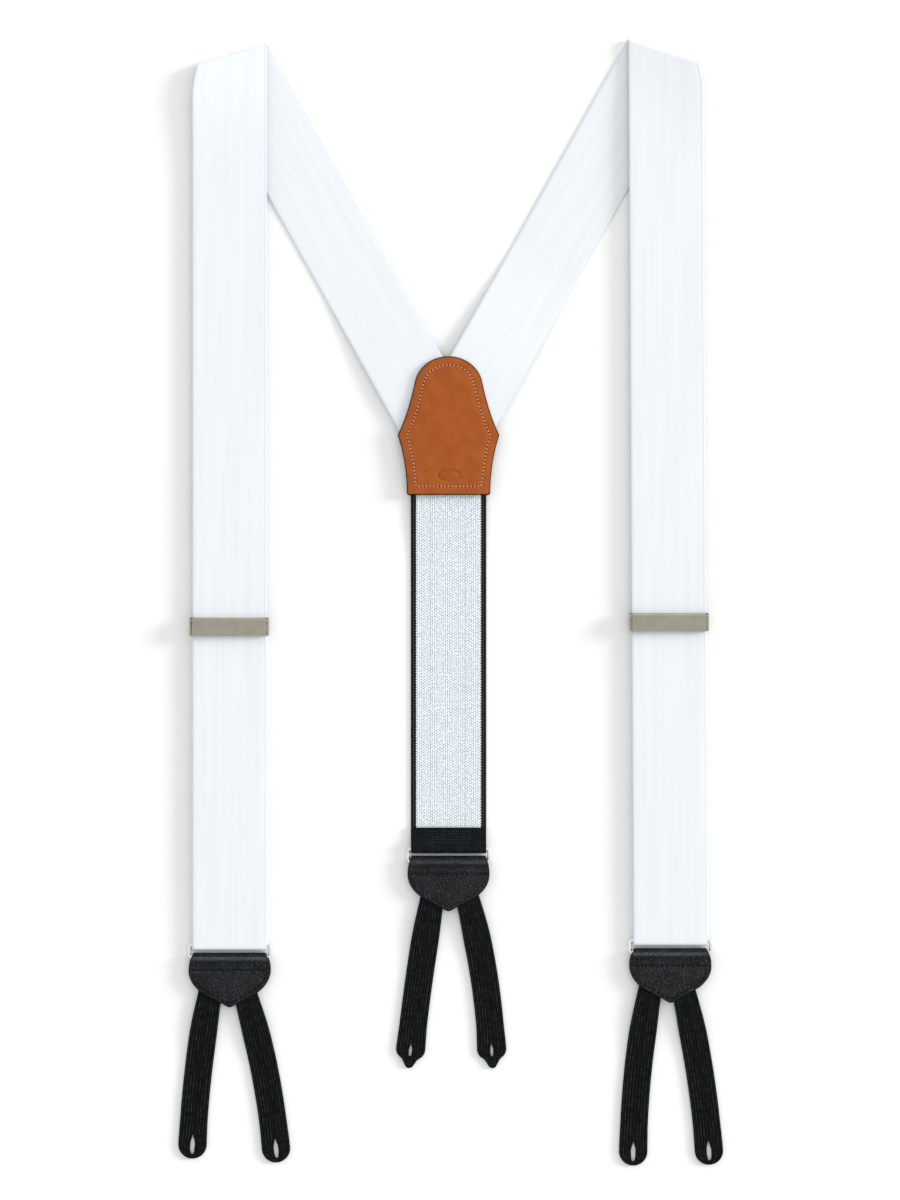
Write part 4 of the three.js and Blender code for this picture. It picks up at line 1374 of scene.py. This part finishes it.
@dataclass
class ButtonTab:
    """A braid folded in two, its legs sewn side by side and open at the tip as a buttonhole."""

    route: TabRoute
    end: str
    x: float
    top: float
    thick: float = 1.6
    root_width: float = 11.0
    width: float = 13.4
    bulb: float = 13.8
    slit: float = 0.005
    wales: int = 5
    relief: float = 0.2
    pitch: float = 1.3
    leaves: float = 27.0
    lands: float = 56.4
    hinge: tuple[float, float] = (20.0, 36.0)

    def middle(self, u: Array) -> Array:
        """The middle line at shares u of its length: a parabola through root, bend and tip."""
        points = np.array([self.route.root, self.route.bend, self.route.tip], float)
        points = points + np.array([self.x, self.top])
        first = np.linalg.norm(points[1] - points[0])
        knot = first / (first + np.linalg.norm(points[2] - points[1]))
        t = np.asarray(u, float)[:, None]
        a = (t - knot) * (t - 1) / knot
        b = t * (t - 1) / (knot * (knot - 1))
        c = t * (t - knot) / (1 - knot)
        return a * points[0] + b * points[1] + c * points[2]

    def level(self, y: Array) -> Array:
        """The height of the braid's middle at a y: it leaves the leather and comes down to the table."""
        out = smoothstep(self.top - y, self.leaves, self.lands)
        return RING_Z + (self.thick / 2 - RING_Z) * out

    def tip_shape(self, u: Array) -> tuple[Array, Array]:
        """Half the tip's outline, (across, down), from its side at u = 0 to its point at u = 1."""
        if self.route.pointed:
            stations = [0, 0.12, 0.27, 0.42, 0.56, 0.7, 0.85, 1]
            across = np.interp(u, stations, [7.1, 6.75, 5.9, 4.6, 3.5, 2.7, 1.5, 0])
            down = np.interp(u, stations, [0, 1.4, 2.8, 3.8, 4.8, 6.3, 8.3, 8.9])
            return across, down
        return self.bulb / 2 * np.cos(np.pi * u / 2), self.bulb / 2 * np.sin(np.pi * u / 2)

    def lines(self) -> tuple[Array, Array]:
        """The outer and inner edge lines of the folded braid, down one leg and up the other."""
        hole_half, hole_up, hole_down = self.route.hole
        u = np.linspace(0, 1, 290)
        at = self.middle(u)
        way = tangents(at)
        side = np.stack([way[:, 1], -way[:, 0]], 1)
        length = travelled(at)[-1]
        left = length * (1 - u)
        wide = (self.root_width + (self.width - self.root_width) * smoothstep(u, 0, 0.4)) / 2
        tip_half = self.tip_shape(np.array([0.0]))[0][0]
        half = tip_half + (wide - tip_half) * smoothstep(left, 0, 14)
        taper = 2.4 if self.route.pointed else 1.4
        opening = np.sin(np.pi / 2 * np.maximum(0, 1 - left / hole_up)) ** taper
        open_half = self.slit + (hole_half - self.slit) * opening
        one_outer, one_inner = at + side * half[:, None], at + side * open_half[:, None]
        two_outer, two_inner = at - side * half[:, None], at - side * open_half[:, None]
        t = np.linspace(0, 2, 75)[1:-1]
        mirrored = np.where(t > 1, 2 - t, t)
        flip = np.where(t > 1, -1.0, 1.0)
        across, down = self.tip_shape(mirrored)
        outer = at[-1] + side[-1] * (flip * across)[:, None] + way[-1] * down[:, None]
        hole_across = hole_half * np.cos(np.pi * mirrored / 2) ** 0.6
        inner = at[-1] + side[-1] * (flip * hole_across)[:, None]
        inner = inner + way[-1] * (hole_down * np.sin(np.pi * mirrored / 2))[:, None]
        outer = np.concatenate([one_outer, outer, two_outer[::-1]])
        inner = np.concatenate([one_inner, inner, two_inner[::-1]])
        return outer, inner

    def plait(self, across: Array, along: Array) -> Array:
        """The braid's relief: rounded wales along it, each of slanting strands that lean by turns."""
        place = across * self.wales
        wale = np.clip(np.floor(place), 0, self.wales - 1)
        inside = place - wale
        lean = np.where(wale % 2 == 0, 1.0, -1.0)
        strand = 0.5 + 0.5 * np.cos(2 * np.pi * (along / self.pitch + lean * (inside - 0.5) * 0.55))
        return self.relief * (np.sin(np.pi * np.clip(inside, 0, 1)) ** 0.7 * (0.55 + 0.45 * strand) - 0.9)

    def braid(self) -> None:
        """The braid itself."""
        outer, inner = self.lines()
        z_outer = self.level(outer[:, 1])
        z_inner = self.level(inner[:, 1])
        left = np.column_stack([outer, z_outer])
        right = np.column_stack([inner, z_inner])
        up = unit(np.cross(right - left, tangents((left + right) / 2)))
        up *= np.sign(up[:, 2:3])
        section = StrapSection(self.thick, edge=0.55, count=27, face=self.plait, back=self.plait)
        skin = section.skin(left, right, up)
        skin.slots = None
        piece = skin.build(f"{self.route.name}_braid", [Look.BRAID], sharp=False)
        self._tie(piece, "black_braid", f"{self.route.name}_tab")

    def seam(self) -> None:
        """Stitches that draw the two legs together, and the bar tack above the buttonhole."""
        u = np.linspace(0.17, 0.9, 120)
        at = self.middle(u)
        z = self.level(at[:, 1]) + self.thick / 2 - 0.12
        path = np.column_stack([at, z])
        row = stitch_row(path, 2.0, 1.5, 0.16, UP, 0.7, slant=0.5)
        piece = row.build(f"{self.route.name}_seam_stitches", [Look.BLACK_THREAD], sharp=False)
        self._tie(piece, "black_thread", f"{self.route.name}_tab_seam")
        at = self.middle(np.array([0.915, 0.935]))
        way = unit(at[1] - at[0])
        side = np.array([way[1], -way[0], 0])
        middle = np.array([*at.mean(0), 0])
        middle[2] = float(self.level(middle[1:2])[0]) + self.thick / 2 - 0.05
        shift = np.linspace(-0.45, 0.45, 4)[:, None] * np.array([*way, 0])
        sides, ups = np.repeat(side[None], 4, 0), np.repeat(UP[None], 4, 0)
        bars = capsules(middle + shift, sides, ups, 2.6, 0.16, 0.8)
        tack = bars.build(f"{self.route.name}_bar_tack", [Look.BLACK_THREAD], sharp=False)
        self._tie(tack, "black_thread", f"{self.route.name}_tab_bartack")

    def _tie(self, piece: bpy.types.Object, slot: str, node: str) -> None:
        """Fixes a piece's place in its mesh and hides the CAD node that it stands for."""
        ends = tuple((self.x, self.top - drop, RING_Z) for drop in self.hinge)
        bent(piece, (f"{self.end}_leather_end", f"{self.route.name}_tab"), ends, slot, node)

    def build(self) -> None:
        """The braid, its seam and its bar tack."""
        self.braid()
        self.seam()


# ---------------------------------------------------------------- yoke patch


@dataclass
class YokePatch:
    """The two leather panels where the straps meet, and the seam round them."""

    dome_half: float = 16.6
    dome_rise: float = 15.2
    ear_half: float = 24.7
    ear_y: float = 81.0
    bottom_half: float = 20.2
    top_y: float = 119.2
    bottom_y: float = 51.9
    corner: float = 1.6
    seam_inset: float = 4.2
    stitch_pitch: float = 1.8
    sunk: float = 0.3
    groove: float = 0.22
    edge_round: float = 0.55
    edge_depth: float = 0.7
    rim: float = 1.4
    spine: tuple[float, float] = (70.0, 104.0)
    strap_shows: float = 0.1
    elastic_shows: float = 0.06
    mark_depth: float = 0.45
    mark: tuple[float, float, float] = (5.3, 2.6, 9.6)

    def __post_init__(self) -> None:
        """Takes its place from the CAD nodes."""
        low, high = node_box("patch_front")
        self.x = (low[0] + high[0]) / 2
        self.shift = high[1] - self.top_y
        self.front = (low[2], high[2])
        self.back = (0.0, node_box("patch_backing")[1][2])

    def outline(self) -> Array:
        """The closed outline, with small round corners at the bottom."""
        dome_y = self.top_y - self.dome_rise
        start = math.radians(14.5)
        arc = np.linspace(start, math.pi / 2, 26)
        dome = np.stack([self.dome_half * np.cos(arc), dome_y + self.dome_rise * np.sin(arc)], 1)
        flank = LeatherEnd.curve((self.ear_half, self.ear_y), (19.6, self.ear_y + 10), dome[0], 18)
        foot = (self.bottom_half, self.bottom_y)
        taper = LeatherEnd.curve(foot, (self.bottom_half + 0.1, self.bottom_y + 16), flank[0], 18)
        corner = rounded_corners(np.array([[0, self.bottom_y], *taper[:2]]), self.corner, 7)
        right = np.concatenate([corner, taper[2:], flank[1:], dome[1:]])
        whole = np.concatenate([right, (right * np.array([-1, 1]))[::-1][1:-1]])
        closed = np.concatenate([whole, whole[:1]])
        return resampled(closed, 0.75)[:-1] + np.array([self.x, self.shift])

    def relief(self, xy: Array) -> Array:
        """How the strap ends under the leather show through, and the plain oval pressed into it."""
        x = xy[:, 0] - self.x
        y = xy[:, 1] - self.shift
        out = np.zeros(len(x))
        for sign in (-1, 1):
            # The strap runs up and outwards at the fold's angle. side is the distance from its middle.
            way = np.array([sign * math.sin(2 * LEAN), math.cos(2 * LEAN)])
            base = np.array([sign * 5.5, 92.0])
            side = (x - base[0]) * way[1] - (y - base[1]) * way[0]
            inside = smoothstep(17.6 - np.abs(side), -2.4, 2.4) * smoothstep(y, 66, 73)
            out = out + self.strap_shows * inside
        elastic = smoothstep(ELASTIC_WIDTH / 2 - np.abs(x), -2, 2) * smoothstep(-y, -88, -80)
        out = out + self.elastic_shows * elastic
        across, tall, up = self.mark
        oval = np.sqrt((x / across) ** 2 + ((y - self.bottom_y - up) / tall) ** 2)
        return out - self.mark_depth * np.exp(-(((oval - 1) / 0.13) ** 2))

    def panel(self, name: str, low: float, high: float, face_up: bool) -> bpy.types.Object:
        """One panel: rings of points drawn in from the outline towards its spine.

        The height is the panel's, less a rounding at the edge and a groove along the seam, plus the relief.

        Args:
            name: the piece's name.
            low: its underside.
            high: its upper side.
            face_up: whether the finished side looks up.

        Returns:
            The object.
        """
        outline = self.outline()
        spine_y = np.clip(outline[:, 1], *self.spine) + self.shift
        spine = np.stack([np.full(len(outline), self.x), spine_y], 1)
        reach = np.linalg.norm(outline - spine, axis=1)
        depth = np.array([0, 0.05, 0.13, 0.25, 0.42, 0.65, 0.95, self.rim])
        inner = np.linspace(self.rim / 22, 1, 34)[1:]
        rings = []
        for d in depth:
            rings.append(outline + (spine - outline) * (d / reach)[:, None])
        for share in inner[:-1]:
            keep = np.maximum(share, self.rim / reach)
            rings.append(outline + (spine - outline) * keep[:, None])
        rings = np.array(rings)
        flat = rings.reshape(-1, 2)
        closed = np.concatenate([outline, outline[:1]])
        from_edge = distance_to_line(flat, closed)
        rounding = self.edge_round * (1 - round_over(from_edge, self.edge_depth))
        groove = self.groove * np.exp(-(((from_edge - self.seam_inset) / 0.55) ** 2))
        dip = 0.18 * smoothstep(-from_edge, -2.6, -0.3)
        away = rounding + groove + dip
        if face_up:
            z = high - away + self.relief(flat) * smoothstep(from_edge, 1.5, 6) - self.sunk
        else:
            z = low + away
        under = np.full(len(outline), low if face_up else high)
        rows, count = len(rings), len(outline)
        points = np.concatenate([np.column_stack([outline, under]), np.column_stack([flat, z])])
        # One end face is the flat side, and the other closes the thin loop left round the spine.
        caps = [list(range(count))[::-1], list(range(rows * count, (rows + 1) * count))]
        skin = Skin(points, grid_faces(rows + 1, count, wrap_columns=True), caps)
        skin.marks["edge"] = np.concatenate([np.zeros(count), from_edge])
        return skin.build(name, [Look.TAN])

    def stitches(self) -> None:
        """The seam round the patch: separate stitches, and between each two a needle hole drawn as painted
        shade.
        """
        outline = self.outline()
        way = tangents(outline, closed=True)
        inward = np.stack([-way[:, 1], way[:, 0]], 1)
        x, y = outline.T
        twice_area = float((x * np.roll(y, -1) - y * np.roll(x, -1)).sum())
        line = outline + inward * self.seam_inset * math.copysign(1, twice_area)
        keep = distance_to_line(line, np.concatenate([outline, outline[:1]])) > self.seam_inset - 0.25
        line = line[keep]
        line = np.concatenate([line, line[:1]])
        bed = self.front[1] - self.sunk - self.groove + 0.02
        z = bed + self.relief(line) * smoothstep(self.seam_inset, 1.5, 6)
        path = np.column_stack([line, z])
        # Each needle hole is a dark brown mark on the surface: painted shade in place of a hole.
        holes = stitch_row(path, self.stitch_pitch, 0.8, 0.36, UP, 0.5)
        hole_shade = holes.build("patch_needle_holes", [Look.HOLE_SHADE], sharp=False)
        hung(hole_shade, "back_yoke", "tan_thread")
        half_on = resampled(path, self.stitch_pitch / 2)[1:]
        half_on = np.concatenate([half_on, half_on[:1]])
        row = stitch_row(half_on, self.stitch_pitch, 1.2, 0.4, UP, 0.85, slant=0.42)
        piece = row.build("patch_stitches", [Look.TAN_THREAD], sharp=False)
        hung(piece, "back_yoke", "tan_thread", "patch_seam")

    def build(self) -> None:
        """Both panels and the seam."""
        front = self.panel("patch_front_leather", self.front[0], self.front[1], face_up=True)
        hung(front, "back_yoke", "tan_leather", "patch_front")
        back = self.panel("patch_back_leather", self.back[0], self.back[1], face_up=False)
        hung(back, "back_yoke", "tan_leather", "patch_backing")
        self.stitches()


# ---------------------------------------------------------------- elastic


@dataclass
class BackElastic:
    """The elastic strap and its end, turned over the ring to the front."""

    thick: float = 0.95
    hem_height: float = 10.4
    rows: int = 5
    first_row: float = 3.4
    row_pitch: float = 1.25
    row_half: float = 10.5
    tail: float = 5.0
    sink: tuple[float, float] = (34.0, 66.0)

    def __post_init__(self) -> None:
        """Takes its place from the CAD nodes."""
        self.bar_y = node_box("back_ring")[1][1] - RING_WIRE
        low, high = node_box("back_elastic")
        self.x = (low[0] + high[0]) / 2
        self.start_y = high[1]
        self.start_z = high[2] - ELASTIC_THICK / 2
        self.low = RING_Z - ELASTIC_LOOP
        self.high = RING_Z + ELASTIC_LOOP

    def strap(self) -> None:
        """The elastic, black behind, which stretches between the patch and the ring."""
        y = np.linspace(self.start_y, self.bar_y + self.tail, 160)
        sunk = smoothstep(self.start_y - y, *self.sink)
        z = self.start_z + (self.low - self.start_z) * sunk
        left, right = level_strap(self.x, ELASTIC_WIDTH, np.stack([y, z], 1))
        up = unit(np.cross(right - left, tangents(left)))
        up *= np.sign(up[:, 2:3])
        skin = StrapSection(self.thick, edge=0.45, count=25).skin(left, right, up)
        piece = skin.build("back_elastic_strap", [Look.ELASTIC, Look.ELASTIC_BACK])
        ends = ((self.x, 45, 0), (self.x, self.bar_y + 18, 0))
        bent(piece, ("back_yoke", "back_elastic_end"), ends, "white_elastic", "back_elastic")

    def hem(self) -> None:
        """The end: round the ring's bar, then up over the strap, its black back to the front."""
        turn = np.linspace(-math.pi / 2, math.pi / 2, 17)
        bend = np.stack([self.bar_y - ELASTIC_LOOP * np.cos(turn), RING_Z + ELASTIC_LOOP * np.sin(turn)], 1)
        rise = self.low + ELASTIC_THICK + 0.05
        up_y = np.linspace(self.bar_y + 0.8, self.bar_y + self.hem_height, 30)
        up_z = self.high + (rise - RING_Z - ELASTIC_LOOP) * smoothstep(up_y, self.bar_y + 1, self.bar_y + 7)
        start = np.array([[self.bar_y + self.tail, self.low], [self.bar_y + 2, self.low]])
        profile = np.concatenate([start, bend, np.stack([up_y, up_z], 1)])
        left, right = level_strap(self.x, ELASTIC_WIDTH, profile)
        up = unit(np.cross(tangents(left), right - left))
        skin = StrapSection(self.thick, edge=0.45, count=25).skin(left, right, up)
        skin.slots = None
        piece = skin.build("back_elastic_end_fold", [Look.ELASTIC_BACK])
        hung(piece, "back_elastic_end", "black_braid", "back_elastic_hem")

    def stitches(self) -> None:
        """Rows of bar stitches across the turned-up end."""
        rows = []
        for row in range(self.rows):
            y = self.bar_y + self.first_row + self.row_pitch * row
            raised = float(1 - smoothstep(y, self.bar_y + 1, self.bar_y + 7))
            z = self.low + 1.5 * ELASTIC_THICK + 0.1 + (self.high - self.low - ELASTIC_THICK) * raised
            path = np.array([[self.x - self.row_half, y, z], [self.x + self.row_half, y, z]])
            rows.append(stitch_row(path, 1.9, 1.5, 0.2, UP, 0.7))
        piece = reduce(Skin.merged, rows).build("back_elastic_stitches", [Look.HEM_THREAD], sharp=False)
        hung(piece, "back_elastic_end", "black_thread", "back_elastic_stitching")

    def build(self) -> None:
        """All of the elastic's pieces."""
        self.strap()
        self.hem()
        self.stitches()


# ---------------------------------------------------------------- studio


@dataclass
class Studio:
    """A white table under soft light from the right, and a camera straight above it."""

    view_tall: float = 583.8
    lens: float = 85.0
    sensor: float = 36.0
    aim: tuple[float, float] = (-0.35, 1.06)
    table_half: float = 20000.0
    table_gap: float = 0.05

    def camera(self) -> None:
        """A camera that looks straight down, its frame view_tall mm tall at the table."""
        data = bpy.data.cameras.new("camera")
        data.lens = self.lens
        data.sensor_width = self.sensor
        made = linked("camera", data)
        height = self.view_tall * self.lens / self.sensor
        made.location = (self.aim[0] * MM, self.aim[1] * MM, height * MM)
        bpy.context.scene.camera = made

    def table(self) -> None:
        """A large plain white surface."""
        corners = self.table_half * np.array([[-1.0, -1, 0], [1, -1, 0], [1, 1, 0], [-1, 1, 0]])
        mesh = bpy.data.meshes.new("table")
        mesh.from_pydata((corners * MM - np.array([0, 0, self.table_gap * MM])).tolist(), [], [[0, 1, 2, 3]])
        made = linked("table", mesh)
        paint = bpy.data.materials.new("table_white")
        paint.use_nodes = True
        shader = paint.node_tree.nodes["Principled BSDF"]
        shader.inputs["Base Color"].default_value = (0.93, 0.93, 0.93, 1)
        shader.inputs["Roughness"].default_value = 0.9
        shader.inputs["Specular IOR Level"].default_value = 0.1
        mesh.materials.append(paint)

    def sun(self, turn: float, rise: float, spread: float, strength: float) -> None:
        """A low soft sun.

        Args:
            turn: its direction round the table from X, in degrees.
            rise: its height over the table, in degrees.
            spread: how wide it looks, in degrees, which softens the shadows.
            strength: its power in watts per square metre.
        """
        data = bpy.data.lights.new("key", "SUN")
        data.angle = math.radians(spread)
        data.energy = strength
        made = linked("key", data)
        turn, rise = math.radians(turn), math.radians(rise)
        towards = Vector((math.cos(turn) * math.cos(rise), math.sin(turn) * math.cos(rise), math.sin(rise)))
        made.location = towards * 2
        made.rotation_euler = towards.to_track_quat("Z", "Y").to_euler()

    def lamp(self, name: str, place: Sequence[float], size: float, power: float) -> None:
        """A square soft light aimed at the middle: its place and size in metres, its power in watts."""
        data = bpy.data.lights.new(name, "AREA")
        data.size = size
        data.energy = power
        made = linked(name, data)
        made.location = place
        made.rotation_euler = Vector(place).to_track_quat("Z", "Y").to_euler()

    def world(self, strength: float) -> None:
        """Even white light from all round."""
        world = bpy.data.worlds.new("studio")
        world.use_nodes = True
        background = world.node_tree.nodes["Background"]
        background.inputs["Color"].default_value = (1, 1, 1, 1)
        background.inputs["Strength"].default_value = strength
        bpy.context.scene.world = world

    def build(self) -> None:
        """Camera, table and lights."""
        self.camera()
        self.table()
        self.world(0.86)
        self.sun(turn=14, rise=18, spread=18, strength=2.4)
        self.lamp("rim", place=(0.2, 1.5, 0.8), size=0.55, power=2)
        settings = bpy.context.scene.view_settings
        settings.view_transform = "Standard"
        settings.look = "None"


def dress_frame(nodes: dict[str, bpy.types.Object]) -> None:
    """Gives each CAD node that stays in view its finish."""
    for name, node in nodes.items():
        if name.endswith("_adjuster_frame"):
            look = Look.BRUSHED
        elif name.endswith("_adjuster_pin"):
            look = Look.NICKEL
        else:
            continue
        node.data.materials.clear()
        node.data.materials.append(look.material)


FRONT_LEATHER = {"top_half": 17.3}
# The back end's painted highlight on its rolled top is fainter.
BACK_LEATHER = {"top_half": 18.1, "puckers": 0.03, "rub": 0.35, "rise": 0.5, "thread": 0.22}

TAB_SETS = {
    "left": (
        TabRoute("left_outer", (-7.6, -10), (-14.4, -50), (-18.2, -93.4)),
        TabRoute("left_inner", (4.3, -10), (15.3, -50), (22.4, -95.3)),
    ),
    "right": (
        TabRoute("right_inner", (-7.7, -10), (-14.5, -50), (-17.9, -99)),
        TabRoute("right_outer", (3.7, -10), (12.7, -50), (18.9, -98.6)),
    ),
    "back": (
        TabRoute("back_left", (-6, -10), (-13, -50.7), (-18.5, -94.2), pointed=True),
        TabRoute("back_right", (6.3, -10), (16, -50.7), (21, -94.2), pointed=True),
    ),
}


def main() -> None:
    """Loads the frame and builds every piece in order."""
    logging.basicConfig(level=logging.INFO, format="%(message)s")
    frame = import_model()
    Studio().build()
    dress_frame(frame["nodes"])
    YokePatch().build()
    for side in Side:
        ShoulderStrap(side).build()
        Adjuster(side).build()
    BackElastic().build()
    for label, tabs in TAB_SETS.items():
        Ring(label).build()
        LeatherEnd(label, tabs, **(BACK_LEATHER if label == "back" else FRONT_LEATHER)).build()


if __name__ == "__main__":
    main()
